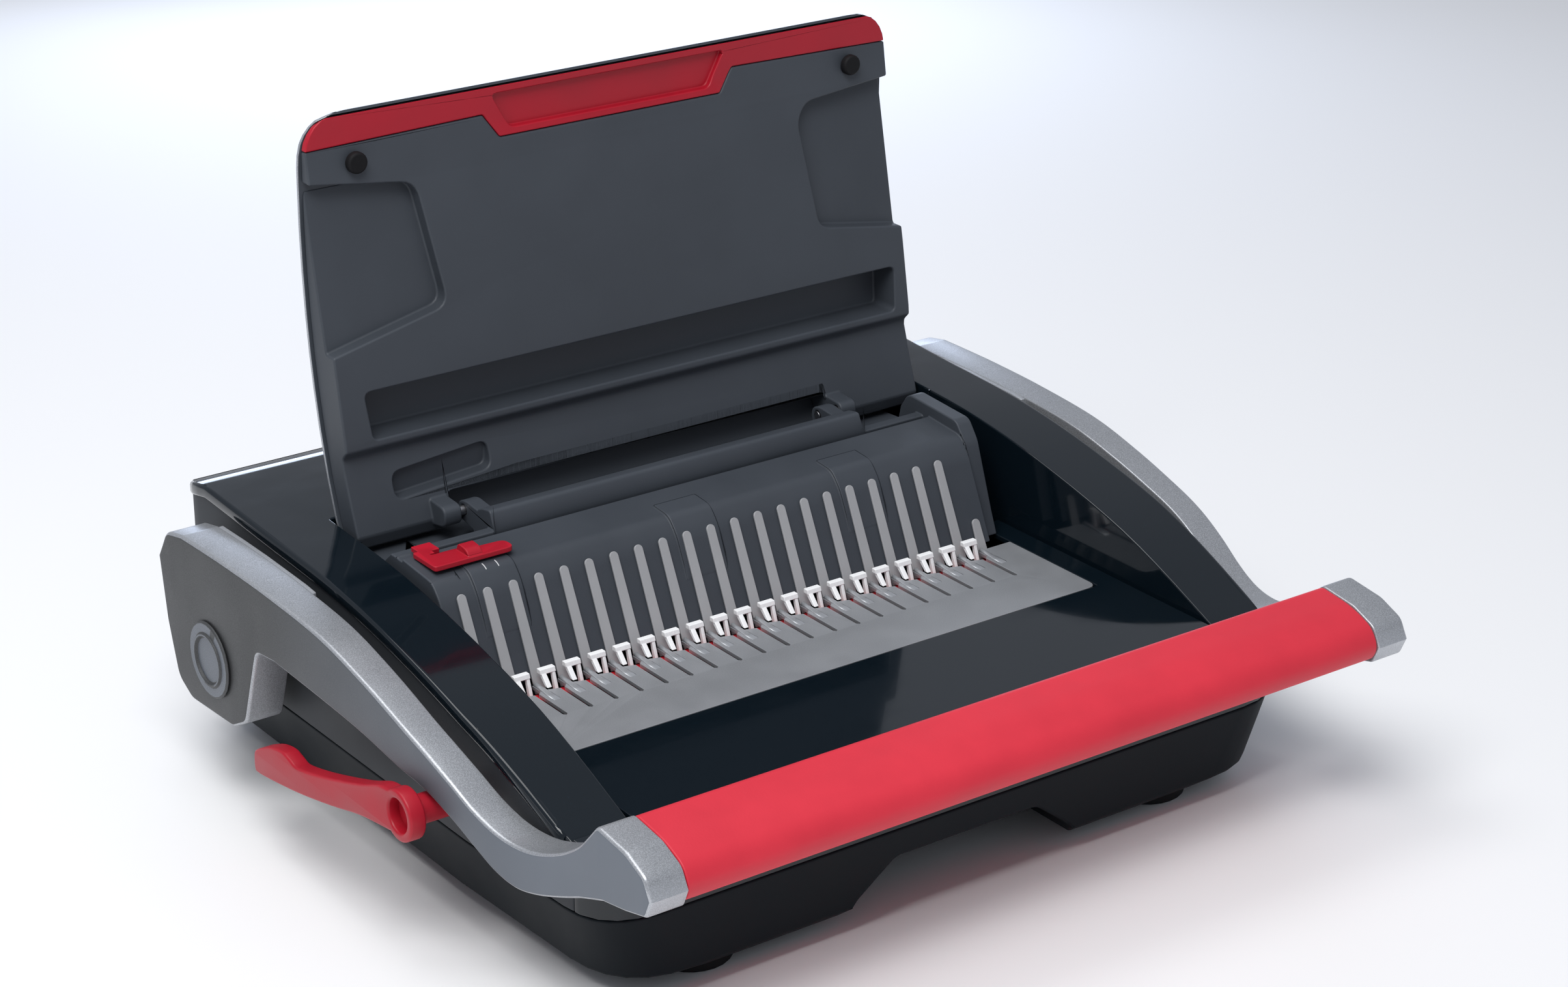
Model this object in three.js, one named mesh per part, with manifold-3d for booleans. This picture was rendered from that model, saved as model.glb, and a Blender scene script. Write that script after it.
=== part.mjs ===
// Manual comb binding machine, in millimetres, Z up.
// X runs along the binding edge, Y runs from the handle (front, -Y) to the hinge side (rear, +Y).
// Heights in this file are counted from the top of the metal punching plate; the whole machine is
// moved at the end so that its origin lies at the middle of its footprint, on the table.
import * as THREE from 'three';
import { mergeVertices } from 'three/addons/utils/BufferGeometryUtils.js';
import Module from 'manifold-3d';

const wasm = await Module();
wasm.setup();

// ---------------------------------------------------------------- driving dimensions
const TABLE_Z = -82;                 // table level below the punching plate
const GAP = 0.3;                     // clearance left between two touching pieces

const RING_PITCH = 14.2875;          // 9/16 inch, the standard plastic comb pitch
const RING_COUNT = 21;               // rings on an A4 comb
const FIRST_FINGER_X = -159.3;
const HOOK_OFFSET_X = 5.7;           // hook leg beside its finger
const FIRST_PIN_X = -148.6;
const SLOT_X = [-156, 148];          // paper slot, a little over 297 mm of A4
const SLOT_Y = [94, 98.6];

const COVER_HALF = 208;              // glossy cover, half width
const COVER_FRONT_HALF = 203;
const COVER_FRONT_Y = -104;
const COVER_REAR_Y = 250;
const REAR_CORNER = 18;
const SKIRT_Z = -36;                 // parting line between cover and base
const WALL = 3;
const APRON_Y = -127;                // front of the tray
const WELL_HALF = [171, 174.5];      // working well, at its floor and at the cheek crests
const WELL_REAR_Y = 157;

const BASE_BOTTOM_Z = -76;
const ARCH_REAR_Y = -75;             // the front arch is a tunnel back to the chip drawer
const FOOT_RADIUS = 20;
const FEET = { front_left: [-137, -97], front_right: [137, -97], rear_left: [-160, 196], rear_right: [160, 196] };

const PIVOT = { y: 167.8, z: -8.6 }; // handle axis
const SHAFT_RADIUS = 7;
const ARM_OUTER = 234.2;
const ARM_INNER = 217;
const ARM_SPLAY = 0.02;              // arms open slightly towards the rear
const CAP_OUTER = 219.2;             // the arms curve in to the handle
const CAP_INNER = 199.8;
const ARM_CURVE_Y = [-10, -146];
const PUNCH_STROKE = 10;
const FOLLOWER_REAR_Y = 148;         // the cams push the punch carriage here
const HANDLE_SWING = 75;             // degrees, down to fully raised

const HINGE = { y: 128, z: 54, radius: 2.5 };
const LID_HALF = 173.4;
const LID_Z = [43, 254];
const HINGE_NOTCH = [-119.5, 112.5]; // the lid straddles the raised hinge band here
const NOTCH_TOP_Z = 61;

const LEVER = { y: -26.5, z: -8.8, x: [-246, -237.8], boss: 12.5, sleeve: 7, shaft: 3.5 };
const PINION = { teeth: 25, module: 1, x: [-192, -184] };
const PLATE_X = [-170.4, 156.9];
const PLATE_Y = [-33.3, 35.4];
const PLATE_THICKNESS = 2;

// ---------------------------------------------------------------- finishes
const finish = (color, roughness, metalness = 0) => ({ color, roughness, metalness });
const GLOSS_BLACK = finish(0x121a22, 0.12);
const DARK_GREY = finish(0x42474d, 0.6);
const BASE_GREY = finish(0x2b2f34, 0.55);
const RED = finish(0xc41f33, 0.4);
const GRIP_RED = finish(0xe23a4c, 0.5);
const SILVER = finish(0x9b9da0, 0.35, 0.7);
const PLATE_STEEL = finish(0x9ea2a6, 0.4, 0.8);
const HOOK_WHITE = finish(0xe4e6e8, 0.3, 0.3);
const FINGER_GREY = finish(0x9a999b, 0.5, 0.2);
const STEEL = finish(0x8b9096, 0.3, 0.9);
const RUBBER = finish(0x18191a, 0.9);

// ---------------------------------------------------------------- modelling helpers
const X_AXIS = new THREE.Vector3(1, 0, 0);
const Y_AXIS = new THREE.Vector3(0, 1, 0);
const Z_AXIS = new THREE.Vector3(0, 0, 1);
const FRAMES = {
  x: new THREE.Matrix4().makeBasis(Y_AXIS, Z_AXIS, X_AXIS),                    // outline in (y, z)
  y: new THREE.Matrix4().makeBasis(X_AXIS, Z_AXIS, Y_AXIS.clone().negate()),   // outline in (x, z)
  z: new THREE.Matrix4(),                                                      // outline in (x, y)
};

function solid(geometry) {
  const bare = geometry.clone();
  bare.deleteAttribute('normal');
  bare.deleteAttribute('uv');
  const merged = mergeVertices(bare, 1e-4);
  return new wasm.Manifold(new wasm.Mesh({
    numProp: 3,
    vertProperties: new Float32Array(merged.attributes.position.array),
    triVerts: new Uint32Array(merged.index.array),
  }));
}

function surface(body) {
  const mesh = body.getMesh();
  const geometry = new THREE.BufferGeometry();
  geometry.setAttribute('position', new THREE.BufferAttribute(new Float32Array(mesh.vertProperties), 3));
  geometry.setIndex(new THREE.BufferAttribute(new Uint32Array(mesh.triVerts), 1));
  return geometry;
}

// A closed outline from [a, b, r] corners; a corner with r is rounded over that distance, or over
// what its two sides have room for.
function outline(corners) {
  const shape = new THREE.Shape();
  const at = (i) => new THREE.Vector2(...corners[(i + corners.length) % corners.length].slice(0, 2));
  corners.forEach(([a, b, wanted = 0], i) => {
    const here = new THREE.Vector2(a, b);
    const [toPrevious, toNext] = [at(i - 1).sub(here), at(i + 1).sub(here)];
    const r = Math.min(wanted, 0.48 * toPrevious.length(), 0.48 * toNext.length());
    const before = here.clone().add(toPrevious.setLength(r));
    const after = here.clone().add(toNext.setLength(r));
    if (i === 0) shape.moveTo(before.x, before.y);
    else shape.lineTo(before.x, before.y);
    if (r > 0) shape.quadraticCurveTo(a, b, after.x, after.y);
  });
  shape.closePath();
  return shape;
}

function prism(axis, shape, from, to, segments = 5) {
  const geometry = new THREE.ExtrudeGeometry(shape, {
    depth: to - from, bevelEnabled: false, curveSegments: segments,
  });
  geometry.applyMatrix4(FRAMES[axis]);
  const start = axis === 'y' ? to : from;
  geometry.translate(axis === 'x' ? start : 0, axis === 'y' ? start : 0, axis === 'z' ? start : 0);
  return solid(geometry);
}

const rectangle = (a0, b0, a1, b1, r = 0) => outline([[a0, b0, r], [a1, b0, r], [a1, b1, r], [a0, b1, r]]);

function block(x0, x1, y0, y1, z0, z1) {
  const geometry = new THREE.BoxGeometry(x1 - x0, y1 - y0, z1 - z0);
  geometry.translate((x0 + x1) / 2, (y0 + y1) / 2, (z0 + z1) / 2);
  return solid(geometry);
}

function rod(radius, x0, x1, y, z, sides = 24) {
  const geometry = new THREE.CylinderGeometry(radius, radius, x1 - x0, sides);
  geometry.rotateZ(Math.PI / 2);
  geometry.translate((x0 + x1) / 2, y, z);
  return solid(geometry);
}

// A turned piece: [radius, height] profile from the axis back to the axis.
const turned = (profile, sides = 24) => solid(
  new THREE.LatheGeometry(profile.map(([r, h]) => new THREE.Vector2(r, h)), sides).rotateX(Math.PI / 2),
);

// A skin through rings of equal point counts, closed at both ends.
function loft(rings) {
  const count = rings[0].length;
  const position = rings.flat().flatMap((p) => [p.x, p.y, p.z]);
  const index = [];
  for (let r = 0; r < rings.length - 1; r += 1) {
    for (let i = 0; i < count; i += 1) {
      const a = r * count + i;
      const b = r * count + ((i + 1) % count);
      index.push(a, b, b + count, a, b + count, a + count);
    }
  }
  const flat = flatten(rings[0]);
  const clockwise = THREE.ShapeUtils.isClockWise(flat);
  const cap = THREE.ShapeUtils.triangulateShape(flat, [])
    .map((face) => (clockwise ? face.reverse() : face));
  const last = (rings.length - 1) * count;
  cap.forEach(([a, b, c]) => index.push(c, b, a, last + a, last + b, last + c));
  const geometry = new THREE.BufferGeometry();
  geometry.setAttribute('position', new THREE.Float32BufferAttribute(position, 3));
  geometry.setIndex(index);
  const body = solid(geometry);
  if (body.volume() > 0) return body;
  index.reverse();
  geometry.setIndex(index);
  return solid(geometry);
}

// Drops the axis in which a ring is flattest, so that its end cap can be triangulated.
function flatten(ring) {
  const box = new THREE.Box3().setFromPoints(ring).getSize(new THREE.Vector3());
  if (box.z <= Math.min(box.x, box.y)) return ring.map((p) => new THREE.Vector2(p.x, p.y));
  if (box.y <= box.x) return ring.map((p) => new THREE.Vector2(p.x, p.z));
  return ring.map((p) => new THREE.Vector2(p.y, p.z));
}

const mirrorX = (body) => body.mirror([1, 0, 0]);
const union = (...bodies) => bodies.reduce((sum, body) => sum.add(body));

const machine = new THREE.Group();

function piece(name, body, { color, roughness, metalness }) {
  const material = new THREE.MeshStandardMaterial({ color, roughness, metalness });
  const mesh = new THREE.Mesh(surface(body), material);
  mesh.name = name;
  machine.add(mesh);
}

// ---------------------------------------------------------------- plan and side outlines
// Plan of the housing, mirrored in X: front corners, a knee where the sides start to close in, rear corners.
function planCorners({ front, frontHalf, frontRadius, kneeY, half, rear, rearRadius }) {
  const right = [[frontHalf, front, frontRadius], [half, kneeY, 0], [half, rear, rearRadius]];
  const left = right.map(([x, y, r]) => [-x, y, r]).reverse();
  return [...right, ...left];
}

const coverPlan = (inset) => outline(planCorners({
  front: APRON_Y + inset,
  frontHalf: COVER_FRONT_HALF - inset,
  frontRadius: 30 - inset,
  kneeY: -20,
  half: COVER_HALF - inset,
  rear: COVER_REAR_Y - inset,
  rearRadius: REAR_CORNER - inset,
}));

// Side view of the cover: the cheeks fall in one sweep from the rear deck to the tray.
function coverSide(inset) {
  const crest = [[-95, 2], [-66, 14], [-37, 24.5], [-8, 32.5], [21, 39], [50, 44.5], [79, 48.7], [108, 51.4]];
  const shape = new THREE.Shape();
  const front = COVER_FRONT_Y + inset;
  shape.moveTo(front, SKIRT_Z - inset);
  shape.lineTo(front, -3 - inset);
  shape.lineTo(front + 1, -1.5 - inset);
  shape.splineThru([...crest, [150, 53.5]].map(([y, z]) => new THREE.Vector2(y, z - inset)));
  shape.lineTo(COVER_REAR_Y - 26, 57.5 - inset);
  shape.quadraticCurveTo(COVER_REAR_Y - inset, 58 - inset, COVER_REAR_Y - inset, 38 - inset);
  shape.lineTo(COVER_REAR_Y - inset, SKIRT_Z - inset);
  shape.closePath();
  return shape;
}

// ---------------------------------------------------------------- housing
function makeTopCover() {
  const shell = (inset, low) => prism('x', coverSide(inset), -COVER_HALF - 4, COVER_HALF + 4, 2)
    .intersect(prism('z', coverPlan(inset), low, 70));
  const well = (margin, low, rearLow) => {
    const [floor, crest] = WELL_HALF.map((half) => half + margin);
    const section = outline([[-floor, low], [floor, low], [crest, 56], [crest, 80], [-crest, 80], [-crest, 56]]);
    const bay = prism('y', section, -140, WELL_REAR_Y - 20);
    const rear = prism('y', rectangle(-crest, rearLow, crest, 80), WELL_REAR_Y - 30, WELL_REAR_Y + margin);
    return bay.add(rear);
  };
  const outer = shell(0, SKIRT_Z);
  let cover = outer.subtract(shell(WALL, SKIRT_Z - 4));
  cover = cover.add(outer.intersect(well(WALL, -3, 33)));
  cover = cover.subtract(well(0, -40, -40));
  const shaftHole = rod(SHAFT_RADIUS + GAP, -230, 230, PIVOT.y, PIVOT.z);
  const leverHole = rod(LEVER.shaft + GAP, -230, -190, LEVER.y, LEVER.z, 16);
  return cover.subtract(shaftHole).subtract(leverHole);
}

function makeFrontTray() {
  const rim = COVER_FRONT_Y - GAP;
  const side = (inset) => outline([
    [rim + inset, SKIRT_Z - inset], [rim + inset, -inset, 0], [-118 + inset, -3 - inset, 6],
    [APRON_Y + inset, -16 - inset, 8], [APRON_Y + inset, SKIRT_Z - inset],
  ]);
  const lip = (inset, low) => prism('x', side(inset), -220, 220)
    .intersect(prism('z', coverPlan(inset), low, 20));
  const apron = lip(0, SKIRT_Z).subtract(lip(WALL, SKIRT_Z - 4)).subtract(
    block(-WELL_HALF[0], WELL_HALF[0], rim - WALL - 1, rim + 1, SKIRT_Z - 1, -WALL),
  );
  const floorHalf = WELL_HALF[0] - GAP;
  const floor = block(-floorHalf, floorHalf, rim - 6, PLATE_Y[0] - GAP, -WALL, 0);
  const side_strip = block(PLATE_X[1] + GAP, floorHalf, PLATE_Y[0] - 2, 62, -WALL, 0);
  return union(apron, floor, side_strip);
}

function makeBaseTub() {
  const level = (z, inset, plan) => outline(planCorners({
    front: plan.front + inset,
    frontHalf: plan.frontHalf - inset,
    frontRadius: plan.frontRadius - inset / 2,
    kneeY: plan.kneeY,
    half: plan.half - inset,
    rear: plan.rear - inset,
    rearRadius: plan.rearRadius - inset / 2,
  })).getPoints(6).slice(0, -1).map((p) => new THREE.Vector3(p.x, p.y, z));
  const rim = { front: APRON_Y, frontHalf: 203, frontRadius: 30, kneeY: -20, half: 208, rear: COVER_REAR_Y, rearRadius: REAR_CORNER };
  const waist = { front: -125.5, frontHalf: 194, frontRadius: 38, kneeY: 0, half: 199, rear: 247, rearRadius: 22 };
  const sole = { front: -118, frontHalf: 182, frontRadius: 42, kneeY: 10, half: 190, rear: 239, rearRadius: 26 };
  const top = SKIRT_Z - GAP;
  const outer = loft([level(BASE_BOTTOM_Z, 0, sole), level(-70, 0, waist), level(top, 0, rim)]);
  const cavity = loft([level(-72, WALL, sole), level(-66, WALL, waist), level(top + 1, WALL, rim)]);
  const archSection = (grow) => outline([
    [-74 - grow, -84], [74 + grow, -84], [64 + grow, -67.5 + grow / 2, 3], [42 + grow / 2, -50.7 + grow, 4],
    [-42 - grow / 2, -50.7 + grow, 4], [-64 - grow, -67.5 + grow / 2, 3],
  ]);
  const archWall = prism('y', archSection(WALL), APRON_Y + WALL, ARCH_REAR_Y).intersect(outer);
  const vents = [-60, 0, 60].map((x) => block(x - 14, x + 14, 235, 262, -58, -54));
  const shell = outer.subtract(cavity).add(archWall).subtract(prism('y', archSection(0), -140, ARCH_REAR_Y + 1));
  return vents.reduce((body, vent) => body.subtract(vent), shell);
}

function makeChipDrawer() {
  const section = (inset, top) => outline([
    [-59.5 + inset, -71.6 + inset], [59.5 - inset, -71.6 + inset], [42 - inset, top], [-42 + inset, top],
  ]);
  const front = ARCH_REAR_Y + GAP;
  const tray = prism('y', section(0, -53.5), front, 78);
  const hollow = prism('y', section(2.5, -50), front + 6, 75.5);
  const pull = prism('y', outline([[-34, -68], [34, -68], [30, -57, 2], [-30, -57, 2]]), front - 1, front + 3.5);
  return tray.subtract(hollow).subtract(pull);
}

const makeFoot = ([x, y]) => turned([
  [0, TABLE_Z], [FOOT_RADIUS - 1.5, TABLE_Z], [FOOT_RADIUS, TABLE_Z + 1.5],
  [FOOT_RADIUS - 1, BASE_BOTTOM_Z - GAP], [0, BASE_BOTTOM_Z - GAP],
]).translate([x, y, 0]);

// ---------------------------------------------------------------- punching plate, fingers and hooks
const fingerX = (k) => FIRST_FINGER_X + k * RING_PITCH;
const hookX = (k) => fingerX(k) + HOOK_OFFSET_X;
const pinX = (k) => FIRST_PIN_X + k * RING_PITCH;
const eachRing = (make) => Array.from({ length: RING_COUNT }, (_, k) => make(k));

function makePunchPlate() {
  const shape = new THREE.Shape();
  const [front, rear] = PLATE_Y;
  shape.moveTo(PLATE_X[0], front);
  shape.lineTo(PLATE_X[1] - 5, front);
  shape.quadraticCurveTo(PLATE_X[1], front, PLATE_X[1], front + 5);
  shape.lineTo(PLATE_X[1], rear);
  // each hook stands in a notch at the rear edge and travels forward along a groove
  eachRing((k) => hookX(RING_COUNT - 1 - k)).forEach((x) => {
    shape.lineTo(x + 3.2, rear);
    shape.lineTo(x + 3.2, 28);
    shape.lineTo(x + 1.2, 26);
    shape.lineTo(x + 1.2, 1.2);
    shape.lineTo(x, 0);
    shape.lineTo(x - 1.2, 1.2);
    shape.lineTo(x - 1.2, 26);
    shape.lineTo(x - 7.2, 28);
    shape.lineTo(x - 7.2, rear);
  });
  shape.lineTo(PLATE_X[0], rear);
  shape.closePath();
  return prism('z', shape, -PLATE_THICKNESS, 0);
}

// The fixed comb: a bar below the plate with one leaning finger for each ring and a short end finger.
const FINGER_LEAN = Math.atan2(19.4, 42);
const FINGER_FOOT = { y: 38.6, z: 1 };
function leaning(shape, thickness) {
  const geometry = new THREE.ExtrudeGeometry(shape, { depth: thickness, bevelEnabled: false, curveSegments: 3 });
  geometry.applyMatrix4(FRAMES.y);
  geometry.rotateX(-FINGER_LEAN);
  geometry.translate(0, FINGER_FOOT.y, FINGER_FOOT.z);
  return solid(geometry);
}

function makeCombFingers() {
  const half = 3;
  const shape = new THREE.Shape();
  shape.moveTo(-168, -9);
  shape.lineTo(152, -9);
  shape.lineTo(152, -3);
  const finger = (x, height) => {
    shape.lineTo(x + half, -3);
    shape.lineTo(x + half - 0.5, height - half);
    shape.absarc(x, height - half, half - 0.5, 0, Math.PI, false);
    shape.lineTo(x - half, -3);
  };
  finger(fingerX(RING_COUNT), 14);
  eachRing((k) => fingerX(RING_COUNT - 1 - k)).forEach((x) => finger(x, 48.6));
  shape.lineTo(-168, -3);
  shape.closePath();
  return leaning(shape, 1.2);
}

function makeHookBar() {
  const bar = block(PINION.x[0], hookX(RING_COUNT - 1) + 6, 24, 33, -12, -5);
  const hook = outline([[30, -6], [33, -6], [33, 3.6], [37, 4.4], [36.4, 7.6, 1], [30, 6.2, 1]]);
  const hooks = eachRing((k) => {
    const leg = prism('x', hook, hookX(k) - 0.9, hookX(k) + 0.9);
    const beak = prism('x', outline([[33.4, 3.7], [37, 4.4], [36.4, 7.6], [32.8, 6.8]]), hookX(k) - 8, hookX(k) + 0.9);
    return leg.add(beak);
  });
  const post = block(PINION.x[0], PINION.x[1], 24, 33, -12, RACK_Z);
  return union(bar, post, ...hooks);
}

// ---------------------------------------------------------------- comb opening gear
const PITCH_RADIUS = (PINION.teeth * PINION.module) / 2;
const RACK_Z = LEVER.z + PITCH_RADIUS + 1.25 * PINION.module;
const BACKLASH = 0.25;

function makePinion() {
  const shape = new THREE.Shape();
  const root = PITCH_RADIUS - 1.3 * PINION.module;
  const tip = PITCH_RADIUS + 0.9 * PINION.module;
  const step = (2 * Math.PI) / PINION.teeth;
  const at = (radius, angle) => [radius * Math.cos(angle), radius * Math.sin(angle)];
  const toothHalf = step / 4 - BACKLASH / 2 / PITCH_RADIUS;
  for (let t = 0; t < PINION.teeth; t += 1) {
    const middle = Math.PI / 2 + step / 2 + t * step;
    const flanks = [[root, -1.45], [PITCH_RADIUS, -1], [tip, -0.45], [tip, 0.45], [PITCH_RADIUS, 1], [root, 1.45]];
    flanks.forEach(([radius, side], i) => {
      const [y, z] = at(radius, middle + side * toothHalf);
      if (t === 0 && i === 0) shape.moveTo(y, z);
      else shape.lineTo(y, z);
    });
  }
  shape.closePath();
  const gear = prism('x', shape, PINION.x[0], PINION.x[1]).translate([0, LEVER.y, LEVER.z]);
  return gear.subtract(rod(LEVER.shaft + GAP, -200, -170, LEVER.y, LEVER.z, 16));
}

function makeHookRack() {
  const shape = new THREE.Shape();
  const toothPitch = Math.PI * PINION.module;
  const line = LEVER.z + PITCH_RADIUS;
  const tip = line - 0.9 * PINION.module;
  const root = RACK_Z + GAP;
  const quarter = toothPitch / 4 - BACKLASH / 2;
  const [front, rear] = [LEVER.y - 4 * toothPitch, 33];
  shape.moveTo(front, root + 5);
  shape.lineTo(front, root);
  const first = LEVER.y - 3 * toothPitch;
  for (let t = 0; first + t * toothPitch + 2 < 22; t += 1) {
    const middle = first + t * toothPitch;
    shape.lineTo(middle - quarter - 0.4, root);
    shape.lineTo(middle - quarter + 0.33, tip);
    shape.lineTo(middle + quarter - 0.33, tip);
    shape.lineTo(middle + quarter + 0.4, root);
  }
  shape.lineTo(rear, root);
  shape.lineTo(rear, root + 5);
  shape.closePath();
  return prism('x', shape, PINION.x[0], PINION.x[1]);
}

function makeCombLever() {
  const [outer, inner] = LEVER.x;
  const blade = new THREE.Shape();
  blade.moveTo(LEVER.y, LEVER.z - LEVER.boss);
  blade.bezierCurveTo(10, -24, 58, -37, 108, -43.5);
  blade.quadraticCurveTo(112, -44, 112, -40);
  blade.lineTo(111, -31);
  blade.quadraticCurveTo(110, -28, 104, -24.5);
  blade.bezierCurveTo(94, -16, 80, -11.5, 70, -16);
  blade.bezierCurveTo(46, -9, 12, -3, LEVER.y, LEVER.z + LEVER.boss);
  blade.closePath();
  const arm = prism('x', blade, outer, inner, 8);
  const boss = rod(LEVER.boss, outer, inner, LEVER.y, LEVER.z, 32);
  const sleeve = rod(LEVER.sleeve, inner - 1, -COVER_HALF - 1, LEVER.y, LEVER.z);
  const dimple = rod(8.3, outer - 1, outer + 6, LEVER.y, LEVER.z);
  const bore = rod(LEVER.shaft + GAP, outer + 7, -200, LEVER.y, LEVER.z, 16);
  return union(arm, boss, sleeve).subtract(dimple).subtract(bore);
}

const makeLeverShaft = () => rod(LEVER.shaft, LEVER.x[0] + 7.3, -176, LEVER.y, LEVER.z, 16);

function makeLeverBearing() {
  const plate = prism('x', outline([[-46, -71.7], [-7, -71.7], [-17, -4, 6], [-36, -4, 6]]), -182, -178);
  return plate.subtract(rod(LEVER.shaft + GAP, -184, -176, LEVER.y, LEVER.z, 16));
}

// ---------------------------------------------------------------- comb block and punch
const BLOCK_X = [-170.4, 157];
const RAISED_PADS = [fingerX(1.5), fingerX(9.5), fingerX(16.5)];
function makeCombHousing() {
  const [slotFront, slotRear] = SLOT_Y;
  const frontSkin = outline([
    [40.3, 0.6], [60, 43.5, 5], [67, 51.2, 4], [slotFront, 53.6], [slotFront, 48], [69.5, 47], [63, 41], [44.5, 0.6],
  ]);
  const rearLip = outline([[slotRear, 34], [slotRear, 52.6, 1], [105, 52.6, 1], [107, 41], [151.5, 38.5], [151.5, 35], [113, 34]]);
  const band = outline([[slotRear, 34], [slotRear, 52.6], [103, 62, 2], [112, 60.5, 3], [118, 55], [120, 36]]);
  const endWall = outline([
    [46, 0.6], [51, 13], [63.5, 48, 3], [71, 58, 3], [112, 60.5, 4], [118, 52], [121, 40, 2], [151.5, 38.5], [151.5, 35], [118, 34], [118, 0.6],
  ]);
  const leftWall = outline([[46, 0.6], [62, 44, 4], [68, 51], [105, 52.6], [118, 41], [118, 0.6]]);
  const lug = outline([[112, 58], [127, 59.5, 4], [133.5, 57, 4], [133.5, 49, 5], [118, 46]]);
  const pad = outline([[50, 20], [50.6, 23.4, 1], [59.3, 44.2, 5], [66.6, 52.1, 3], [80, 53.1, 1], [80, 50], [66, 44]]);
  const body = union(
    prism('x', frontSkin, BLOCK_X[0], BLOCK_X[1] - 9, 6),
    prism('x', rearLip, BLOCK_X[0], BLOCK_X[1]),
    prism('x', band, HINGE_NOTCH[0] + 3.5, HINGE_NOTCH[1] - 3.5),
    prism('x', endWall, SLOT_X[1], BLOCK_X[1], 6),
    prism('x', leftWall, BLOCK_X[0], SLOT_X[0], 6),
    prism('x', lug, HINGE_NOTCH[0] + 3.5, HINGE_NOTCH[0] + 12),
    prism('x', lug, HINGE_NOTCH[1] - 12, HINGE_NOTCH[1] - 3.5),
    ...RAISED_PADS.map((x) => prism('x', pad, x - 12.5, x + 12.5)),
  );
  const pinBore = rod(HINGE.radius + GAP, -140, 140, HINGE.y, HINGE.z, 16);
  return body.subtract(pinBore);
}

const PIN = { width: 8, height: 2.8, z: 3 };
function makePinSlots(margin, y0, y1) {
  const w = PIN.width / 2 + margin;
  const h = PIN.height / 2 + margin;
  return eachRing((k) => block(pinX(k) - w, pinX(k) + w, y0, y1, PIN.z - h, PIN.z + h));
}

function makeDieBar() {
  const bar = block(SLOT_X[0], SLOT_X[1] - 1, 86, SLOT_Y[0] - GAP, -14, 30);
  return makePinSlots(GAP, 80, 100).reduce((body, slot) => body.subtract(slot), bar);
}

function makePunchGuide() {
  const bar = block(SLOT_X[0], SLOT_X[1] - 1, SLOT_Y[1] + GAP, 105, -14, 30);
  return makePinSlots(GAP, 90, 110).reduce((body, slot) => body.subtract(slot), bar);
}

function makePunchBar() {
  const beam = block(SLOT_X[0] + 2, SLOT_X[1] - 3, 108, 116, -14, 9);
  const follower = (x) => block(x - 8, x + 8, 115, FOLLOWER_REAR_Y, -18, 1);
  const relief = (x) => block(x - 5, x + 5, 118, 140, -15, 2);
  return union(beam, follower(-120), follower(120)).subtract(relief(-120)).subtract(relief(120))
    .subtract(block(-60, 50, 106, 113.5, -9, -2));
}

function makePunchPins() {
  const carrier = block(SLOT_X[0] + 3, SLOT_X[1] - 4, 105.6, 108 - GAP, PIN.z - 3, PIN.z + 3);
  return union(carrier, ...makePinSlots(0, 88.5, 106));
}

function makePaperGuide() {
  const foot = prism('z', outline([
    [-166, 70.5, 2], [-122, 70.5, 4], [-122, 80, 4], [-140, 81, 3], [-147, 84.5, 2], [-160, 84.5, 1], [-160, 91.5, 1], [-166, 91.5, 1],
  ]), 53.9, 56.6);
  const grip = prism('x', outline([[70.5, 54], [83.5, 54], [82, 60.5, 3], [73, 59.5, 3]]), -147, -139);
  const stop = block(-163, -157, 86, SLOT_Y[1] - GAP, 54, 56.6)
    .add(block(-154.8, -152.6, SLOT_Y[0] + GAP, SLOT_Y[1] - GAP, 36, 56.6))
    .add(block(-163, -152.6, 89, SLOT_Y[1] - GAP, 54, 56.6));
  return union(foot, grip, stop);
}

// ---------------------------------------------------------------- lid
const LID_BACK = [[148, 43], [156, 62], [164.6, 96], [169.5, 123], [172.6, 149], [174.4, 180], [174.5, 208], [173, 241]];
// The inner face is thin at the foot, steps out to a thick frame round the channel, then runs up to the trim.
const LID_FRONT = [
  [134, 50], [139.5, 66], [145.6, 85], [145.4, 88], [141.4, 92], [141.9, 97], [147.6, 131], [156.5, 178],
  [163.6, 216], [166.6, 236], [166.4, 252],
];
const corners = (...points) => points.map(([a, b]) => new THREE.Vector2(a, b));
const through = (points) => new THREE.SplineCurve(corners(...points)).getPoints(10);
const SHELL_THICKNESS = 2.2;

const lidFace = (radius, grow = 0) => outline([
  [-LID_HALF - grow, LID_Z[0], 8], [LID_HALF + grow, LID_Z[0], 8],
  [LID_HALF + grow, LID_Z[1], radius], [-LID_HALF - grow, LID_Z[1], radius],
]);

function makeLidShell() {
  const back = through(LID_BACK);
  const inside = back.map((p) => new THREE.Vector2(p.x - SHELL_THICKNESS, p.y)).reverse();
  const section = new THREE.Shape([
    ...back, ...corners([171.5, 250], [167.5, 254], [167, 252], [169.8, 249]), ...inside,
  ]);
  return prism('x', section, -LID_HALF, LID_HALF).intersect(prism('y', lidFace(26), 100, 200, 8));
}

function lidCore() {
  const back = through(LID_BACK).map((p) => new THREE.Vector2(p.x - SHELL_THICKNESS - GAP, p.y));
  const section = new THREE.Shape([
    ...corners([137, LID_Z[0] - 1]), ...back, ...corners([169.4, 248.5]), ...corners(...LID_FRONT).reverse(),
  ]);
  return prism('x', section, -LID_HALF + 1.5, LID_HALF - 1.5);
}

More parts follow.
